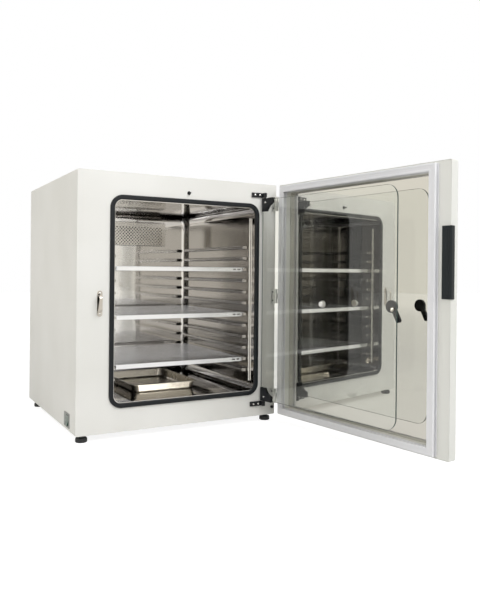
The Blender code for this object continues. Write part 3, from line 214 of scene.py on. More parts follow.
for name in ("outer_case", "front_panel", "rear_panel"):
    eased_copy(name, case_coat, "cabinet", FOLD_ROUND)
for name in ("door_shell", "door_frame"):
    eased_copy(name, door_coat, "outer_door", FOLD_ROUND)


# Chamber liner
# A welded tub of mirror-polished stainless sheet, 1 mm thick, with wide coved edges that wipe
# clean. Polishing leaves it slightly wavy, so its reflections waver.
CHAMBER_LOW = Vector((-0.238, -0.330, 0.085))
CHAMBER_HIGH = Vector((0.269, 0.250, 0.719))
CHAMBER_CORNER = 0.029
CHAMBER_COVE = 0.022
LINER_SHEET = 0.001
WAVE_SIZE = 0.16
WAVE_DEPTH = 0.004
HAZE_SIZE = 0.03
# Points this near to each other count as one place.
TOUCH = 1e-5


def polished_steel(name, colour, roughness, wave):
    """Mirror-polished stainless: bright and faintly warm, with a long shallow waviness."""
    made = new_material(name, colour, roughness, 1.0)
    add_bump(made, surface_noise(made, WAVE_SIZE, 1.0), wave, WAVE_DEPTH)
    vary_roughness(made, surface_noise(made, HAZE_SIZE, 4.0), roughness * 0.7, roughness * 1.5)
    return made


def box_mesh(corner, opposite):
    """A bmesh box between any two opposite corners."""
    made = bmesh.new()
    bmesh.ops.create_cube(made, size=1.0)
    low = Vector([min(pair) for pair in zip(corner, opposite)])
    high = Vector([max(pair) for pair in zip(corner, opposite)])
    bmesh.ops.scale(made, vec=high - low, verts=made.verts)
    bmesh.ops.translate(made, vec=(low + high) / 2, verts=made.verts)
    return made


def edges_along(made, axis, test=lambda middle: True):
    """Edges that run along an axis and whose middle passes the test."""
    found = []
    for edge in made.edges:
        way = (edge.verts[1].co - edge.verts[0].co).normalized()
        if abs(way[axis]) > 0.999 and test((edge.verts[0].co + edge.verts[1].co) / 2):
            found.append(edge)
    return found


def lies_at(item, axis, value):
    """Whether a whole edge or face has one value on an axis."""
    return all(abs(vert.co[axis] - value) < TOUCH for vert in item.verts)


mirror_steel = polished_steel("mirror_polished_stainless", "#DDDBD9", 0.06, 0.30)
tub = box_mesh(CHAMBER_LOW, CHAMBER_HIGH)
round_edges(tub, edges_along(tub, 1), CHAMBER_CORNER, 10)
back_edges = [edge for edge in tub.edges if lies_at(edge, 1, CHAMBER_HIGH.y)]
round_edges(tub, back_edges, CHAMBER_COVE, 8)
mouth = [face for face in tub.faces if lies_at(face, 1, CHAMBER_LOW.y)]
bmesh.ops.delete(tub, geom=mouth, context="FACES")
bmesh.ops.reverse_faces(tub, faces=tub.faces)
add_piece("polished_liner", tub, mirror_steel, "cabinet", "chamber_liner",
          smooth=60, sheet=(LINER_SHEET, -1.0))


# Seal of the chamber's mouth
# A black silicone edge seal, clipped over the sheet's edge all round the mouth, with a soft
# rounded face that the glass door presses on. A bright bead of the liner shows inside it.
SEAL_LAP = 0.003
SEAL_WIDTH = 0.014
SEAL_PROUD = 0.0062
SEAL_ROUND = 0.0028
SEAL_STAND = 0.0003
BEAD_WIDTH = 0.0052
BEAD_DEPTHS = (0.0005, 0.002)
silicone = new_material("black_silicone", "#111519", 0.46, Specular_IOR_Level=0.3)
add_bump(silicone, surface_noise(silicone, 0.0012, 2.0), 0.12, 0.0002)
vary_roughness(silicone, surface_noise(silicone, 0.02, 3.0), 0.40, 0.55)


def rounded_ring(lap, width, face, back, face_round):
    """A flat ring round the chamber's mouth, lapped past it, with its face's edges rounded."""
    made = box_mesh((CHAMBER_LOW.x - lap, face, CHAMBER_LOW.z - lap),
                    (CHAMBER_HIGH.x + lap, back, CHAMBER_HIGH.z + lap))
    round_edges(made, edges_along(made, 1), CHAMBER_CORNER + lap, 12)
    flat = [side for side in made.faces if abs(side.normal.y) > 0.99]
    bmesh.ops.inset_region(made, faces=flat, thickness=width, depth=0.0, use_even_offset=True)
    most = max(len(side.verts) for side in made.faces)
    inner = [side for side in made.faces
             if abs(side.normal.y) > 0.99 and len(side.verts) == most]
    rims = [edge for side in inner for edge in side.edges]
    bmesh.ops.delete(made, geom=inner, context="FACES_ONLY")
    bmesh.ops.bridge_loops(made, edges=rims)
    if face_round:
        around = [edge for edge in sharp_edges(made, 80) if lies_at(edge, 1, face)]
        round_edges(made, around, face_round, 4)
    bmesh.ops.recalc_face_normals(made, faces=made.faces)
    return made


panel_face = CHAMBER_LOW.y - SEAL_STAND
seal_ring = rounded_ring(SEAL_WIDTH - SEAL_LAP, SEAL_WIDTH, panel_face - SEAL_PROUD, panel_face,
                         SEAL_ROUND)
add_piece("mouth_seal", seal_ring, silicone, "cabinet", "chamber_gasket")
bead = rounded_ring(0.0, BEAD_WIDTH, panel_face + BEAD_DEPTHS[0], panel_face + BEAD_DEPTHS[1], 0.0)
add_piece("liner_mouth_bead", bead, mirror_steel, "cabinet")


# Side racks
# Pressed and polished stainless sheets hooked on the side walls. Their ribs, with bullet-shaped
# front ends, carry the shelves; a bright upright stands at the front of each.
RACK_X = 0.2522
RACK_SHEET = 0.001
RACK_FRONT = CHAMBER_LOW.y + 0.035
RACK_REAR = CHAMBER_HIGH.y - 0.022
RACK_LOW = 0.117
RACK_HIGH = 0.682
RIB_FIRST = 0.1534
RIB_PITCH = 0.0389
RIB_COUNT = 12
RIB_HALF = 0.006
RIB_REACH = 0.0235
RIB_SETBACK = 0.012
RIB_ROUND = RIB_HALF * 0.98
RIB_END_ROUND = RIB_HALF * 0.85
UPRIGHT_WIDTH = 0.004
UPRIGHT_DEPTH = 0.004
UPRIGHT_ROUND = 0.0012
MIDDLE_X = (CHAMBER_LOW.x + CHAMBER_HIGH.x) / 2
rack_steel = polished_steel("pressed_polished_stainless", "#B8B5B1", 0.12, 0.04)
upright_steel = new_material("bright_steel_strip", "#F2F1EE", 0.22, 1.0)
vary_roughness(upright_steel, surface_noise(upright_steel, 0.01, 2.0), 0.18, 0.28)


def absorb(target, other):
    """Move another bmesh's geometry into the target."""
    carrier = bpy.data.meshes.new("carrier")
    other.to_mesh(carrier)
    other.free()
    target.from_mesh(carrier)
    bpy.data.meshes.remove(carrier)


for side, name in ((-1, "rack_left"), (1, "rack_right")):
    inner = MIDDLE_X + side * RACK_X
    outer = MIDDLE_X + side * (RACK_X + RACK_SHEET)
    nose = MIDDLE_X + side * (RACK_X - UPRIGHT_DEPTH)
    tip = MIDDLE_X + side * (RACK_X - RIB_REACH)
    bar = box_mesh((nose, RACK_FRONT, RACK_LOW), (inner, RACK_FRONT + UPRIGHT_WIDTH, RACK_HIGH))
    round_edges(bar, edges_along(bar, 2), UPRIGHT_ROUND, 3)
    add_piece("upright_of_" + name, bar, upright_steel, "cabinet")
    rack = box_mesh((inner, RACK_FRONT, RACK_LOW), (outer, RACK_REAR, RACK_HIGH))
    for index in range(RIB_COUNT):
        level = RIB_FIRST + index * RIB_PITCH
        rib = box_mesh((tip, RACK_FRONT + RIB_SETBACK, level - RIB_HALF),
                       (outer, RACK_REAR - RIB_SETBACK, level + RIB_HALF))
        inner_edges = edges_along(rib, 1, lambda middle: abs(middle.x - tip) < TOUCH)
        round_edges(rib, inner_edges, RIB_ROUND, 6)
        ends = [edge for edge in rib.edges
                if lies_at(edge, 1, edge.verts[0].co.y) and not lies_at(edge, 0, outer)]
        round_edges(rib, ends, RIB_END_ROUND, 4)
        absorb(rack, rib)
    add_piece("pressed_" + name, rack, rack_steel, "cabinet", name, smooth=50)


# Shelves
# Perforated stainless sheet, brushed from side to side, with turned-down lips front and rear, laid
# on one pair of ribs and drawn out by hand. The holes are drawn a little wider apart, and the
# brushed lines coarser, than real ones, so that they show.
SHELF_SHEET = 0.0012
SHELF_MARGIN = 0.012
SHELF_LIP = 0.014
LIP_SIDE = 0.0092
LIP_TUCK = SHELF_SHEET * 0.2
SLOT_HEIGHT = 0.0045
SLOT_LENGTH = 0.012
SLOT_END = 0.008
SLOT_STEP = 0.017
HOLE_PITCH = 0.014
HOLE_RADIUS = 0.0048
GRAIN_LENGTH = 1 / 12
GRAIN_WIDTH = 1 / 700
shelf_steel = new_material("satin_stainless_sheet", "#F1F2F6", 0.24, 1.0)
grain_place = add_node(shelf_steel, "ShaderNodeTexCoord").outputs["Object"]
grain_map = add_node(shelf_steel, "ShaderNodeMapping",
                     {"Scale": (1 / GRAIN_LENGTH, 1 / GRAIN_WIDTH, 1 / GRAIN_WIDTH)},
                     {"Vector": grain_place}).outputs["Vector"]
grain = add_node(shelf_steel, "ShaderNodeTexNoise", {"Scale": 1.0, "Detail": 3.0},
                 {"Vector": grain_map}).outputs["Fac"]
add_bump(shelf_steel, grain, 0.10, 0.0002)
vary_roughness(shelf_steel, grain, 0.18, 0.32)


def points_of(geometry):
    """The vertices among what an operator returns, each once."""
    return list(dict.fromkeys(item for item in geometry if isinstance(item, bmesh.types.BMVert)))


def hole_cell(size, radius):
    """One cell of perforated sheet: an eight-sided hole in a rectangle."""
    made = bmesh.new()
    bmesh.ops.create_circle(made, cap_ends=False, segments=8, radius=radius)
    inner = list(made.edges)
    grid = bmesh.ops.create_grid(made, x_segments=2, y_segments=2, size=0.5)["verts"]
    middle = [vert for vert in grid if vert.co.length < TOUCH]
    bmesh.ops.delete(made, geom=middle, context="VERTS")
    bmesh.ops.scale(made, vec=(*size, 1.0), verts=[vert for vert in grid if vert.is_valid])
    outer = [edge for edge in made.edges if edge not in inner]
    bmesh.ops.bridge_loops(made, edges=inner + outer)
    return made


def perforated_field(half, counts, radius):
    """A sheet of cells about the origin, merged into one skin; half is half its size."""
    step = [2 * half[axis] / counts[axis] for axis in (0, 1)]
    made = hole_cell(step, radius)
    bmesh.ops.translate(made, vec=(step[0] / 2 - half[0], step[1] / 2 - half[1], 0),
                        verts=made.verts)
    for axis in (0, 1):
        source = list(made.verts) + list(made.edges) + list(made.faces)
        for index in range(1, counts[axis]):
            copy = bmesh.ops.duplicate(made, geom=source)["geom"]
            shift = [0, 0, 0]
            shift[axis] = index * step[axis]
            bmesh.ops.translate(made, vec=shift, verts=points_of(copy))
        bmesh.ops.remove_doubles(made, verts=made.verts, dist=TOUCH)
    return made


def on_rectangle(edge, half):
    """Whether an open edge lies along one side of a rectangle about the origin."""
    return edge.is_boundary and any(
        all(abs(abs(vert.co[axis]) - half[axis]) < WELD for vert in edge.verts)
        for axis in (0, 1))


def grow_border(made, half_from, half_to, drop=0.0):
    """Extrude a rectangle's open border outwards to a larger one, and down by a drop."""
    border = [edge for edge in made.edges if on_rectangle(edge, half_from)]
    grown = bmesh.ops.extrude_edge_only(made, edges=border)["geom"]
    for vert in points_of(grown):
        for axis in (0, 1):
            if abs(abs(vert.co[axis]) - half_from[axis]) < WELD:
                vert.co[axis] = half_to[axis] if vert.co[axis] > 0 else -half_to[axis]
        vert.co.z -= drop


def face_all(made, axis, way):
    """Turn all faces of an open sheet the same way along an axis."""
    bmesh.ops.recalc_face_normals(made, faces=made.faces)
    if sum(face.normal[axis] for face in made.faces) * way < 0:
        bmesh.ops.reverse_faces(made, faces=made.faces)


for name in ("shelf_top", "shelf_middle", "shelf_bottom"):
    low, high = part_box(name)
    middle = (low + high) / 2
    half = ((high.x - low.x) / 2, (high.y - low.y) / 2)
    field_half = (half[0] - SHELF_MARGIN, half[1] - SHELF_MARGIN)
    counts = [int(2 * reach / HOLE_PITCH) for reach in field_half]
    tray = perforated_field(field_half, counts, HOLE_RADIUS)
    grow_border(tray, field_half, half)
    face_all(tray, 2, -1)
    bmesh.ops.translate(tray, vec=(middle.x, middle.y, high.z - SHELF_SHEET), verts=tray.verts)
    add_piece("perforated_" + name, tray, shelf_steel, name, smooth=0,
              sheet=(SHELF_SHEET, -1.0))
    lips = bmesh.new()
    lip_top = high.z - LIP_TUCK
    lip_low = high.z - SHELF_LIP
    slot_low = lip_low + (SHELF_LIP - SLOT_HEIGHT) / 2
    slots = [high.x - LIP_SIDE - SLOT_END - index * SLOT_STEP for index in range(2)]
    for start in (low.y, high.y - SHELF_SHEET):
        stops = [low.x + LIP_SIDE]
        for right in reversed(slots):
            stops += [right - SLOT_LENGTH, right]
        stops.append(high.x - LIP_SIDE)
        for left, right in zip(stops[::2], stops[1::2]):
            absorb(lips, box_mesh((left, start, lip_low), (right, start + SHELF_SHEET, lip_top)))
        for right in slots:
            for bottom, top in ((lip_low, slot_low), (slot_low + SLOT_HEIGHT, lip_top)):
                absorb(lips, box_mesh((right - SLOT_LENGTH, start, bottom),
                                      (right, start + SHELF_SHEET, top)))
    add_piece("lips_" + name, lips, shelf_steel, name, name, smooth=0)


# Fan cover
# A shallow folded stainless cover on the back wall with a block of small round holes in staggered
# rows, in front of the fan wheel. The holes are drawn wider apart than real ones, so they show.
COVER_SHEET = 0.001
COVER_MARGIN = (0.016, 0.012)
COVER_BEND = 0.0015
COVER_HOLE_PITCH = 0.0092
COVER_HOLE = 0.0030
FIELD_DROP = 0.007
HALF_STEP = COVER_HOLE_PITCH / 2 ** 0.5


def finish_node(name, made):
    """Give a carried-over node its material."""
    for holder in nodes[name].material_slots:
        holder.material = made
    if not nodes[name].material_slots:
        nodes[name].data.materials.append(made)


cover_low, cover_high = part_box("fan_cover")
cover_middle = (cover_low + cover_high) / 2
cover_half = ((cover_high.x - cover_low.x) / 2, (cover_high.z - cover_low.z) / 2)
flat_half = (cover_half[0] - COVER_BEND, cover_half[1] - COVER_BEND)
reach = (HALF_STEP * (int((cover_high.x - cover_middle.x - COVER_MARGIN[0]) / HALF_STEP) + 0.5),
         HALF_STEP * (int((cover_high.z - cover_middle.z - COVER_MARGIN[1]) / HALF_STEP) + 0.5))
cells = 2 * int((reach[0] + reach[1]) / COVER_HOLE_PITCH + 2) + 1
field_half = (cells * COVER_HOLE_PITCH / 2,) * 2
cover = perforated_field(field_half, (cells, cells), COVER_HOLE)
bmesh.ops.rotate(cover, verts=cover.verts, cent=(0, 0, 0), matrix=Matrix.Rotation(pi / 4, 3, "Z"))
for axis in (0, 1):
    for way in (-1, 1):
        normal = Vector((0, 0, 0))
        normal[axis] = way
        bmesh.ops.bisect_plane(cover, dist=1e-6, plane_co=normal * reach[axis], plane_no=normal,
                               geom=list(cover.verts) + list(cover.edges) + list(cover.faces),
                               clear_outer=True)
grow_border(cover, reach, flat_half)
grow_border(cover, flat_half, cover_half, COVER_BEND)
grow_border(cover, cover_half, cover_half, cover_high.y - cover_low.y - COVER_BEND)
field = [vert for vert in cover.verts
         if all(abs(vert.co[axis]) < reach[axis] + WELD for axis in (0, 1))]
bmesh.ops.translate(cover, verts=field, vec=(0, -FIELD_DROP, 0))
bmesh.ops.rotate(cover, verts=cover.verts, cent=(0, 0, 0), matrix=Matrix.Rotation(pi / 2, 3, "X"))
bmesh.ops.translate(cover, verts=cover.verts, vec=(cover_middle.x, cover_low.y, cover_middle.z))
face_all(cover, 1, -1)
cover_steel = new_material("perforated_stainless_sheet", "#D2CFCA", 0.20, 1.0)
vary_roughness(cover_steel, surface_noise(cover_steel, 0.03, 3.0), 0.15, 0.28)
add_piece("perforated_cover", cover, cover_steel, "cabinet", "fan_cover", smooth=0,
          sheet=(COVER_SHEET, -1.0))
finish_node("sensor_probe", rack_steel)


# Water pan
# A deep-drawn stainless pan with tapered walls, round corners and a turned-out rim; it stands on
# the chamber floor. Drawing leaves it satin rather than bright.
PAN_RIM = 0.006
PAN_TAPER = 0.006
PAN_CORNER = 0.030
PAN_BASE_ROUND = 0.006
PAN_RIM_DROP = 0.003
PAN_SHEET = 0.001
pan_steel = polished_steel("drawn_satin_stainless", "#C6C0B4", 0.22, 0.20)
pan_low, pan_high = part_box("water_pan")
middle = (pan_low + pan_high) / 2
pan = box_mesh((pan_low.x + PAN_RIM, pan_low.y + PAN_RIM, pan_low.z),
               (pan_high.x - PAN_RIM, pan_high.y - PAN_RIM, pan_high.z - PAN_SHEET))
for vert in pan.verts:
    if vert.co.z < middle.z:
        vert.co.x -= PAN_TAPER if vert.co.x > middle.x else -PAN_TAPER
        vert.co.y -= PAN_TAPER if vert.co.y > middle.y else -PAN_TAPER
walls = [edge for edge in pan.edges if not lies_at(edge, 2, edge.verts[0].co.z)]
round_edges(pan, walls, PAN_CORNER - PAN_RIM, 8)
base_edges = [edge for edge in pan.edges if lies_at(edge, 2, pan_low.z)]
round_edges(pan, base_edges, PAN_BASE_ROUND, 5)
top = [face for face in pan.faces if lies_at(face, 2, pan_high.z - PAN_SHEET)]
bmesh.ops.delete(pan, geom=top, context="FACES")
rim = [edge for edge in pan.edges if edge.is_boundary]
grown = bmesh.ops.extrude_edge_only(pan, edges=rim)["geom"]
for vert in points_of(grown):
    for axis in (0, 1):
        half = pan_high[axis] - middle[axis] - PAN_RIM
        away = vert.co[axis] - middle[axis]
        vert.co[axis] = middle[axis] + away * (half + PAN_RIM - PAN_SHEET) / half
rim = [edge for edge in pan.edges if edge.is_boundary]
grown = bmesh.ops.extrude_edge_only(pan, edges=rim)["geom"]
bmesh.ops.translate(pan, vec=(0, 0, -PAN_RIM_DROP), verts=points_of(grown))
add_piece("drawn_pan", pan, pan_steel, "water_pan", "water_pan", smooth=45,
          sheet=(PAN_SHEET, 1.0))


# Parts behind the panels and small mouldings
# Glass-filled nylon and similar black mouldings, satin with a fine spark-eroded grain, and grey
# ones of ABS. Rigid foam boards fill the walls, and the control box is zinc-plated sheet.
CORNERS = ("front_left", "front_right", "rear_left", "rear_right")
black_moulding = new_material("black_moulded_nylon", "#15171B", 0.42, Specular_IOR_Level=0.3)
add_bump(black_moulding, surface_noise(black_moulding, 0.0009, 2.0), 0.15, 0.0002)
vary_roughness(black_moulding, surface_noise(black_moulding, 0.015, 3.0), 0.36, 0.50)
grey_moulding = new_material("grey_moulded_abs", "#8F918F", 0.48)
add_bump(grey_moulding, surface_noise(grey_moulding, 0.0012, 2.0), 0.10, 0.0002)
finish_node("fan_wheel", black_moulding)
finish_node("fan_motor", black_moulding)
for name, body, ease in (("mains_inlet", "cabinet", 0.0006), ("plunger_bush", "cabinet", 0.0004),
                         ("door_plunger", "door_plunger", 0.0005),
                         ("case_gland", "cabinet", 0.0005), ("door_gland", "outer_door", 0.0005),
                         ("glass_hinge_top", "cabinet", 0.0006),
                         ("glass_hinge_bottom", "cabinet", 0.0006),
                         ("clamp_top", "glass_door", 0.0007),
                         ("clamp_bottom", "glass_door", 0.0007)):
    eased_copy(name, black_moulding, body, ease)
eased_copy("switch_housing", grey_moulding, "cabinet", 0.0006)
eased_copy("control_panel", grey_moulding, "outer_door", 0.001)
for corner in CORNERS:
    eased_copy("top_button_" + corner, grey_moulding, "cabinet", 0.0005)
foam = new_material("rigid_foam", "#D9CFA8", 0.9)
add_bump(foam, surface_noise(foam, 0.003, 3.0), 0.4, 0.001)
for name in ("foam_left", "foam_right", "foam_top", "foam_bottom", "foam_back", "door_foam"):
    finish_node(name, foam)
zinc = new_material("zinc_plated_sheet", "#B9BBBC", 0.38, 1.0)
add_bump(zinc, surface_noise(zinc, 0.01, 3.0), 0.05, 0.0005)
finish_node("control_box", zinc)


# Levelling feet
# Black rubber pads moulded on a stem that screws into the case. The pad's ring is soft and
# rounded, and a little bare stem shows above its neck.
FOOT_PROFILE = ((0.0, -0.022), (0.0165, -0.022), (0.018, -0.0205), (0.018, -0.0125),
                (0.0172, -0.0112), (0.0172, -0.0095), (0.0160, -0.0085), (0.0085, -0.0070),
                (0.0080, -0.0055), (0.0080, -0.0030), (0.0050, -0.0030), (0.0050, 0.012),
                (0.0, 0.012))
foot_rubber = new_material("black_foot_rubber", "#1E2022", 0.55)
add_bump(foot_rubber, surface_noise(foot_rubber, 0.001, 2.0), 0.2, 0.0003)


def set_on(made, axis, centre):
    """Tip a piece made on the origin from upright onto an axis, and move it to its centre."""
    turn = Vector((0, 0, 1)).rotation_difference(Vector(axis)).to_matrix().to_4x4()
    bmesh.ops.transform(made, matrix=Matrix.Translation(centre) @ turn, verts=made.verts)


def spun(profile, steps=40):
    """An upright turned piece on the origin, from a profile of (radius, height) pairs."""
    made = bmesh.new()
    verts = [made.verts.new((radius, 0, height)) for radius, height in profile]
    edges = [made.edges.new(pair) for pair in zip(verts, verts[1:])]
    bmesh.ops.spin(made, geom=verts + edges, cent=(0, 0, 0), axis=(0, 0, 1), dvec=(0, 0, 0),
                   angle=2 * pi, steps=steps, use_merge=True, use_duplicate=False)
    bmesh.ops.remove_doubles(made, verts=made.verts, dist=1e-6)
    bmesh.ops.recalc_face_normals(made, faces=made.faces)
    return made


for corner in CORNERS:
    name = "foot_" + corner
    low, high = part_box(name)
    foot = spun(FOOT_PROFILE)
    set_on(foot, (0, 0, 1), ((low.x + high.x) / 2, (low.y + high.y) / 2, 0))
    add_piece("rubber_" + name, foot, foot_rubber, name, name)


# Power switch
# A rocker moulded in dark green translucent plastic, smooth and a little shiny. It tilts on an
# axle in the recessed grey housing low on the side.
rocker_green = new_material("green_translucent_rocker", "#1F4A3C", 0.22, Coat_Weight=0.4)
vary_roughness(rocker_green, surface_noise(rocker_green, 0.004, 2.0), 0.18, 0.28)
eased_copy("power_rocker", rocker_green, "power_rocker", 0.0006)


# Keeper
# A brushed stainless plate with round ends on the front panel, held by two screws, with a bent
# strap that the latch's eccentric knob turns behind.
KEEPER_SHEET = 0.0015
KEEPER_SCREW = (0.0032, 0.0018)
KEEPER_SCREW_SIDE = 0.008
KEEPER_SCREW_END = 0.0078
CROSS_REACH = 0.55
CROSS_HALF = 0.09
CROSS_LEVELS = (0.80, 1.02)
keeper_steel = new_material("brushed_keeper_stainless", "#C8C2BA", 0.28, 1.0)
add_bump(keeper_steel, surface_noise(keeper_steel, 0.002, 3.0), 0.08, 0.0002)
eased_copy("keeper", keeper_steel, "cabinet", 0.0003, 50)
screw_steel = new_material("bright_zinc_screw", "#D6D6D4", 0.25, 1.0)
vary_roughness(screw_steel, surface_noise(screw_steel, 0.002, 2.0), 0.18, 0.34)


def screw_head(radius, height):
    """An upright pan head on the origin; two thin bars stand for the cross of its recess."""
    made = spun(((0.0, height), (radius * 0.55, height * 0.92), (radius * 0.88, height * 0.6),
                 (radius, height * 0.15), (radius, 0.0), (0.0, 0.0)), 20)
    for turn in (0, pi / 2):
        bar = box_mesh((-radius * CROSS_REACH, -radius * CROSS_HALF, height * CROSS_LEVELS[0]),
                       (radius * CROSS_REACH, radius * CROSS_HALF, height * CROSS_LEVELS[1]))
        bmesh.ops.rotate(bar, verts=bar.verts, cent=(0, 0, 0),
                         matrix=Matrix.Rotation(turn, 3, "Z"))
        absorb(made, bar)
    return made


def add_screws(name, size, way, places, steel, body, turn=None):
    """Screws of one (radius, height) that look the same way along Y, as one piece."""
    heads = bmesh.new()
    for place in places:
        head = screw_head(*size)
        set_on(head, (0, way, 0), place)
        absorb(heads, head)
    add_piece(name, heads, steel, body, turn=turn)


low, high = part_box("keeper")
add_screws("keeper_screws", KEEPER_SCREW, -1,
           [(high.x - KEEPER_SCREW_SIDE, high.y - KEEPER_SHEET, level)
            for level in (low.z + KEEPER_SCREW_END, high.z - KEEPER_SCREW_END)],
           screw_steel, "cabinet")


# Butt hinges of the outer door
# Satin chrome-plated steel, one leaf on the case and one on the door, with dark cross-head screws.
# The door is shown open, so what is made for the shut door is turned about the hinges' axis.
DOOR_OPEN = radians(97.2)
DOOR_FACE = CHAMBER_LOW.y - 0.018
LEAF_PROUD = 0.0023
HINGE_SCREW = (0.0028, 0.0012)
HINGE_SCREW_X = 0.3405
HINGE_SCREW_END = 0.010
plated = new_material("satin_chrome_plate", "#E2E2DF", 0.32, 1.0)
vary_roughness(plated, surface_noise(plated, 0.01, 2.0), 0.24, 0.36)
dark_screw = new_material("blackened_screw", "#5B5B5C", 0.35, 1.0)
vary_roughness(dark_screw, surface_noise(dark_screw, 0.002, 2.0), 0.28, 0.42)


def opened(hinge, angle):
    """The turn from shut to open about a door's hinge."""
    axis = next(Vector(joint["pos_m"]) for joint in frame["joints"] if joint["name"] == hinge)
    return (Matrix.Translation(axis) @ Matrix.Rotation(angle, 4, "Z")
            @ Matrix.Translation(-axis))


door_turn = opened("outer_door_hinge", DOOR_OPEN)
for number in (1, 2, 3):
    eased_copy(f"case_leaf_{number}", plated, "cabinet", 0.0003)
    eased_copy(f"door_leaf_{number}", plated, "outer_door", 0.0003)
    low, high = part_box(f"case_leaf_{number}")
    levels = (low.z + HINGE_SCREW_END, high.z - HINGE_SCREW_END)
    for label, body, face, way, turn in (("case", "cabinet", CHAMBER_LOW.y - LEAF_PROUD, -1, None),
                                         ("door", "outer_door", DOOR_FACE + LEAF_PROUD, 1,
                                          door_turn)):
        add_screws(f"{label}_hinge_screws_{number}", HINGE_SCREW, way,
                   [(HINGE_SCREW_X, face, level) for level in levels], dark_screw, body, turn)
finish_node("gas_inlet", plated)


# Screws of the glass door's hinge bars
# Bright zinc-plated pan heads with a cross recess, two on each black bar, which hold it to the
# front panel.
BAR_SCREW = (0.0036, 0.0016)
BAR_SCREW_XS = (0.262, 0.281)
BAR_SCREW_END = 0.0075
BAR_PROUD = 0.0063
for name in ("glass_hinge_top", "glass_hinge_bottom"):
    low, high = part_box(name)
    level = high.z - BAR_SCREW_END if name.endswith("top") else low.z + BAR_SCREW_END
    add_screws(name + "_screws", BAR_SCREW, -1,
               [(across, CHAMBER_LOW.y - BAR_PROUD, level) for across in BAR_SCREW_XS],
               screw_steel, "cabinet")


# Bright inner panel of the outer door
# A flat sheet of mirror-polished stainless, held by the frame round it; it shows the chamber and
# the glass door again.
door_mirror = polished_steel("mirror_polished_door_panel", "#D6D4CE", 0.012, 0.02)
finish_node("mirror_panel", door_mirror)


# Magnetic seal of the outer door
# A light grey vinyl moulding with mitred corners: a foot held in the frame, a folded bellows and a
# hollow bar with a magnet strip in it, which pulls the seal against the front panel.
VINYL_LOW = Vector((-0.311, -0.3477, 0.007))
VINYL_HIGH = Vector((0.331, -0.3303, 0.793))
# Each pair is a point's way in from the outer edge, in metres, and its share of the depth.
SEAL_PROFILE = ((0.0, 0.0), (0.0, 0.12), (0.0012, 0.17), (0.0042, 0.20), (0.0046, 0.27),
                (0.0012, 0.33), (0.0008, 0.39), (0.0040, 0.44), (0.0042, 0.52), (0.0010, 0.57),
                (0.0004, 0.64), (0.0004, 0.93), (0.0013, 1.0), (0.0060, 1.0), (0.0066, 0.975),
                (0.0154, 0.975), (0.0160, 1.0), (0.0207, 1.0), (0.0216, 0.93), (0.0216, 0.64),
                (0.0210, 0.57), (0.0178, 0.52), (0.0180, 0.44), (0.0212, 0.39), (0.0208, 0.33),
                (0.0174, 0.27), (0.0178, 0.20), (0.0208, 0.17), (0.0220, 0.12), (0.0220, 0.0))
MITRE_HALF = 0.05
seal_vinyl = new_material("light_grey_vinyl", "#E2E2E5", 0.40)
add_bump(seal_vinyl, surface_noise(seal_vinyl, 0.02, 2.0), 0.05, 0.0005)
vary_roughness(seal_vinyl, surface_noise(seal_vinyl, 0.05, 2.0), 0.36, 0.48)
vinyl = bmesh.new()
section = [vinyl.verts.new((inset - MITRE_HALF,
                            VINYL_LOW.y + share * (VINYL_HIGH.y - VINYL_LOW.y),
                            inset - MITRE_HALF)) for inset, share in SEAL_PROFILE]
rim = [vinyl.edges.new(pair) for pair in zip(section, section[1:] + section[:1])]
bmesh.ops.spin(vinyl, geom=section + rim, cent=(0, 0, 0), axis=(0, 1, 0), dvec=(0, 0, 0),
               angle=2 * pi, steps=4, use_merge=True, use_duplicate=False)
bmesh.ops.remove_doubles(vinyl, verts=vinyl.verts, dist=TOUCH)
for vert in vinyl.verts:
    vert.co.x += VINYL_HIGH.x - MITRE_HALF if vert.co.x > 0 else VINYL_LOW.x + MITRE_HALF
    vert.co.z += VINYL_HIGH.z - MITRE_HALF if vert.co.z > 0 else VINYL_LOW.z + MITRE_HALF
bmesh.ops.recalc_face_normals(vinyl, faces=vinyl.faces)
add_piece("mitred_magnetic_seal", vinyl, seal_vinyl, "outer_door", "magnetic_seal",
          turn=door_turn, smooth=25)


# Grip of the outer door
# A black moulded grip that laps the inner part of the free edge, with a shallow groove along its
# face and soft rounded edges.
GRIP_END = DOOR_FACE - 0.014
GRIP_EASE = 0.0008
GROOVE_MARGIN = 0.006
GROOVE_DEPTH = 0.0016
grip_moulding = new_material("black_soft_touch_grip", "#0F181C", 0.34, Specular_IOR_Level=0.3)
add_bump(grip_moulding, surface_noise(grip_moulding, 0.0009, 2.0), 0.12, 0.0002)
vary_roughness(grip_moulding, surface_noise(grip_moulding, 0.02, 2.0), 0.28, 0.40)
grip = bmesh.new()
grip.from_mesh(nodes["door_grip"].data)
bmesh.ops.transform(grip, matrix=door_turn.inverted(), verts=grip.verts)
whole_faces(grip)
cut = bmesh.ops.bisect_plane(grip, geom=list(grip.verts) + list(grip.edges) + list(grip.faces),
                             dist=1e-6, plane_co=(0, GRIP_END, 0), plane_no=(0, -1, 0),
                             clear_outer=True)["geom_cut"]
bmesh.ops.holes_fill(grip, edges=[item for item in cut if isinstance(item, bmesh.types.BMEdge)])
bmesh.ops.recalc_face_normals(grip, faces=grip.faces)
grip_face = max((face for face in grip.faces if face.normal.y > 0.9),
                key=lambda face: face.calc_area())
for reach, depth in ((GROOVE_MARGIN, 0.0), (GROOVE_DEPTH, -GROOVE_DEPTH)):
    bmesh.ops.inset_individual(grip, faces=[grip_face], thickness=reach, depth=depth,
                               use_even_offset=True)
round_edges(grip, sharp_edges(grip, 40), GRIP_EASE, 2)
add_piece("lapped_grip", grip, grip_moulding, "outer_door", "door_grip",
          turn=door_turn)


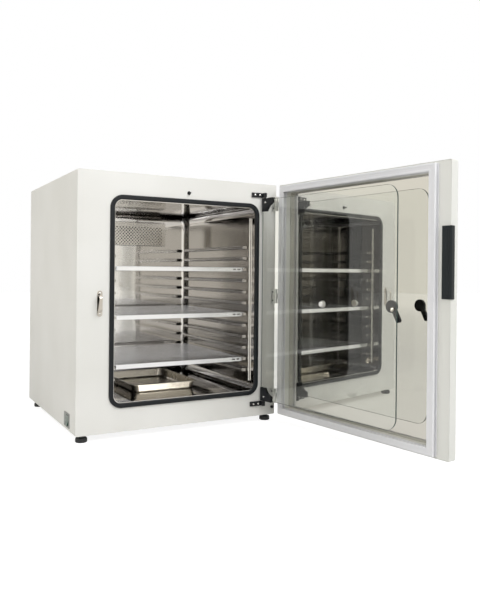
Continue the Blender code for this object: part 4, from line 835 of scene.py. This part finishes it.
# Display window
# Dark acrylic, set in the grey key panel on the door's outer face. It is smooth and shiny, and
# nothing is lit behind it.
display = new_material("dark_display_acrylic", "#0C0D10", 0.06, Coat_Weight=0.6)
vary_roughness(display, surface_noise(display, 0.03, 2.0), 0.05, 0.09)
eased_copy("display_window", display, "outer_door", 0.0003)


# Glass door
# One toughened pane of clear float glass with ground and polished edges. Looked at edge on, the
# glass is dark green.
GLASS_OPEN = radians(98.7)
PANE_LOW = Vector((-0.271, -0.3418, 0.058))
PANE_HIGH = Vector((0.303, -0.3368, 0.745))
PANE_CORNER = 0.038
PANE_ARRIS = 0.0006
glass = new_material("clear_float_glass", "#F9FBFA", 0.0, Transmission_Weight=1.0, IOR=1.5)
glass_edge = new_material("ground_glass_edge", "#43534F", 0.20, Transmission_Weight=0.25)
vary_roughness(glass_edge, surface_noise(glass_edge, 0.003, 2.0), 0.16, 0.26)
glass_turn = opened("glass_door_hinge", GLASS_OPEN)
pane = box_mesh(PANE_LOW, PANE_HIGH)
free_edges = edges_along(pane, 1, lambda middle: middle.x < 0)
round_edges(pane, free_edges, PANE_CORNER, 14)
rim = [edge for edge in sharp_edges(pane, 80) if lies_at(edge, 1, edge.verts[0].co.y)]
round_edges(pane, rim, PANE_ARRIS, 1)
for face in pane.faces:
    face.material_index = 0 if abs(face.normal.y) > 0.95 else 1
add_piece("float_glass_pane", pane, (glass, glass_edge), "glass_door", "glass_pane",
          turn=glass_turn, smooth=30)


# Latch and port plug of the glass door
# The latch is a black moulded eccentric knob with a lever, outside the pane, on a bolt with a
# bright nickel-plated dome nut inside it. The plug is white silicone, pushed into the pane's hole.
LATCH_X = -0.2555
LATCH_LEVEL = 0.396
NUT_GAP = 0.0003
NUT_PROFILE = ((0.0060, 0.0), (0.0060, 0.0010), (0.0052, 0.0013), (0.0052, 0.0034),
               (0.0046, 0.0043), (0.0028, 0.0050), (0.0, 0.0053))
eased_copy("latch", black_moulding, "latch", 0.0009)
nickel = new_material("bright_nickel_nut", "#E3DFD4", 0.16, 1.0)
vary_roughness(nickel, surface_noise(nickel, 0.004, 2.0), 0.12, 0.24)
nut = spun(NUT_PROFILE, 32)
set_on(nut, (0, 1, 0), (LATCH_X, PANE_HIGH.y + NUT_GAP, LATCH_LEVEL))
add_piece("latch_dome_nut", nut, nickel, "latch", turn=glass_turn)
white_plug = new_material("white_silicone_plug", "#ECEAE5", 0.5)
add_bump(white_plug, surface_noise(white_plug, 0.003, 2.0), 0.1, 0.0003)
vary_roughness(white_plug, surface_noise(white_plug, 0.01, 2.0), 0.42, 0.56)
eased_copy("port_plug", white_plug, "port_plug", 0.0008)


# Screws of the glass door's clamps
# One bright zinc-plated pan head through each black clamp, seen from inside the pane.
CLAMP_SCREW = (0.0036, 0.0016)
CLAMP_SCREW_X = 0.2855
CLAMP_SCREW_END = 0.0105
CLAMP_WALL = 0.0035
for name, level in (("clamp_top", PANE_HIGH.z - CLAMP_SCREW_END),
                    ("clamp_bottom", PANE_LOW.z + CLAMP_SCREW_END)):
    add_screws(name + "_screw", CLAMP_SCREW, 1,
               [(CLAMP_SCREW_X, PANE_HIGH.y + CLAMP_WALL, level)],
               screw_steel, "glass_door", glass_turn)


# Floor and light
# A plain pale floor under the feet and soft studio light; the floor keeps the object's shadow.
# Metal and glass show a slightly warm studio, and the camera shows white.
FLOOR_SIZE = 12.0
FLOOR_LEVEL = -0.0222
GLOW_SPAN = (1.5, 8.0)
CEILING_SPAN = (0.20, 0.75)
WHITE = (1.0, 1.0, 1.0, 1.0)
STUDIO_WARMTH = (1.0, 0.97, 0.89, 1.0)
floor_mesh = bmesh.new()
bmesh.ops.create_grid(floor_mesh, x_segments=1, y_segments=1, size=FLOOR_SIZE)
bmesh.ops.translate(floor_mesh, vec=(0, 0, FLOOR_LEVEL), verts=floor_mesh.verts)
mesh = bpy.data.meshes.new("floor")
floor_mesh.to_mesh(mesh)
floor_mesh.free()
floor = bpy.data.objects.new("floor", mesh)
scene.collection.objects.link(floor)
floor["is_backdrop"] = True
floor_white = new_material("pale_floor", "#FFFFFF", 0.9)
mesh.materials.append(floor_white)


def by_ray(made, output, plain, mirrored, direct):
    """Light the scene with one shader, and show others in metal and glass and straight on."""
    path = add_node(made, "ShaderNodeLightPath")
    shiny = add_node(made, "ShaderNodeMath", {"operation": "MAXIMUM"},
                     {0: path.outputs["Is Glossy Ray"], 1: path.outputs["Is Transmission Ray"]})
    shown = plain
    for when, other in ((shiny.outputs[0], mirrored), (path.outputs["Is Camera Ray"], direct)):
        shown = add_node(made, "ShaderNodeMixShader",
                         links={0: when, 1: shown.outputs[0], 2: other.outputs[0]})
    made.node_tree.links.new(shown.outputs[0], made.node_tree.nodes[output].inputs["Surface"])


def lifted_floor(colour, near, far):
    """The floor's own shade and a glow, from near to far, so that only shadows stay darker."""
    shade = add_node(floor_white, "ShaderNodeBsdfDiffuse", {"Color": (0.36, 0.36, 0.36, 1.0)})
    place = add_node(floor_white, "ShaderNodeTexCoord").outputs["Object"]
    away = add_node(floor_white, "ShaderNodeVectorMath", {"operation": "LENGTH"},
                    {"Vector": place})
    fade = add_node(floor_white, "ShaderNodeMapRange",
                    {"From Min": GLOW_SPAN[0], "From Max": GLOW_SPAN[1],
                     "To Min": near, "To Max": far}, {"Value": away.outputs["Value"]})
    glow = add_node(floor_white, "ShaderNodeEmission", {"Color": colour},
                    {"Strength": fade.outputs["Result"]})
    return add_node(floor_white, "ShaderNodeAddShader",
                    links={0: shade.outputs[0], 1: glow.outputs[0]})


by_ray(floor_white, "Material Output",
       add_node(floor_white, "ShaderNodeBsdfDiffuse", {"Color": (0.75, 0.75, 0.74, 1.0)}),
       lifted_floor(STUDIO_WARMTH, 0.50, 0.96), lifted_floor(WHITE, 0.86, 0.98))
world = bpy.data.worlds.new("studio")
scene.world = world
world.use_nodes = True
way = add_node(world, "ShaderNodeSeparateXYZ",
               links={"Vector": add_node(world, "ShaderNodeTexCoord").outputs["Generated"]})
ceiling = add_node(world, "ShaderNodeMapRange",
                   {"From Min": CEILING_SPAN[0], "From Max": CEILING_SPAN[1],
                    "To Min": 1.0, "To Max": 0.30}, {"Value": way.outputs["Z"]})
by_ray(world, "World Output",
       add_node(world, "ShaderNodeBackground",
                {"Color": (0.80, 0.81, 0.82, 1.0), "Strength": 0.55}),
       add_node(world, "ShaderNodeBackground", {"Color": STUDIO_WARMTH},
                {"Strength": ceiling.outputs["Result"]}),
       add_node(world, "ShaderNodeBackground", {"Color": WHITE, "Strength": 1.0}))


def soft_light(name, place, aim, size, power, colour=(1.0, 1.0, 1.0)):
    """A rectangular studio lamp of a size in metres and a power in watts, aimed at a point."""
    lamp = bpy.data.lights.new(name, "AREA")
    lamp.shape = "RECTANGLE"
    lamp.size, lamp.size_y = size
    lamp.energy = power
    lamp.color = colour
    made = bpy.data.objects.new(name, lamp)
    scene.collection.objects.link(made)
    made.location = place
    made.rotation_euler = (Vector(aim) - Vector(place)).to_track_quat("-Z", "Y").to_euler()


soft_light("front_softbox", (0.7, -3.2, 2.9), (0.0, 0.0, 0.7), (2.4, 1.8), 82)
soft_light("left_softbox", (-3.6, -1.2, 2.2), (0.0, -0.2, 0.4), (2.0, 2.2), 45,
           (1.0, 0.965, 0.88))
soft_light("top_softbox", (0.2, -0.6, 3.4), (0.1, -0.3, 0.4), (2.4, 2.4), 40)


# Camera
# Placed at the photograph's viewing point, level, turned to the right and very slightly rolled.
CAMERA_PLACE = (-0.867, -2.227, 0.499)
CAMERA_YAW = radians(29.52)
CAMERA_ROLL = radians(0.54)
LONG_SIDE = 600
FOCAL_PIXELS = 641.6
CENTRE_RISE = 29.1
lens = bpy.data.cameras.new("camera")
lens.sensor_width = 36.0
lens.lens = FOCAL_PIXELS / LONG_SIDE * lens.sensor_width
lens.shift_y = -CENTRE_RISE / LONG_SIDE
camera = bpy.data.objects.new("camera", lens)
scene.collection.objects.link(camera)
camera.matrix_world = (Matrix.Translation(CAMERA_PLACE) @ Matrix.Rotation(-CAMERA_YAW, 4, "Z")
                       @ Matrix.Rotation(pi / 2, 4, "X") @ Matrix.Rotation(CAMERA_ROLL, 4, "Z"))
scene.camera = camera
scene.view_settings.view_transform = "Standard"

low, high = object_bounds()
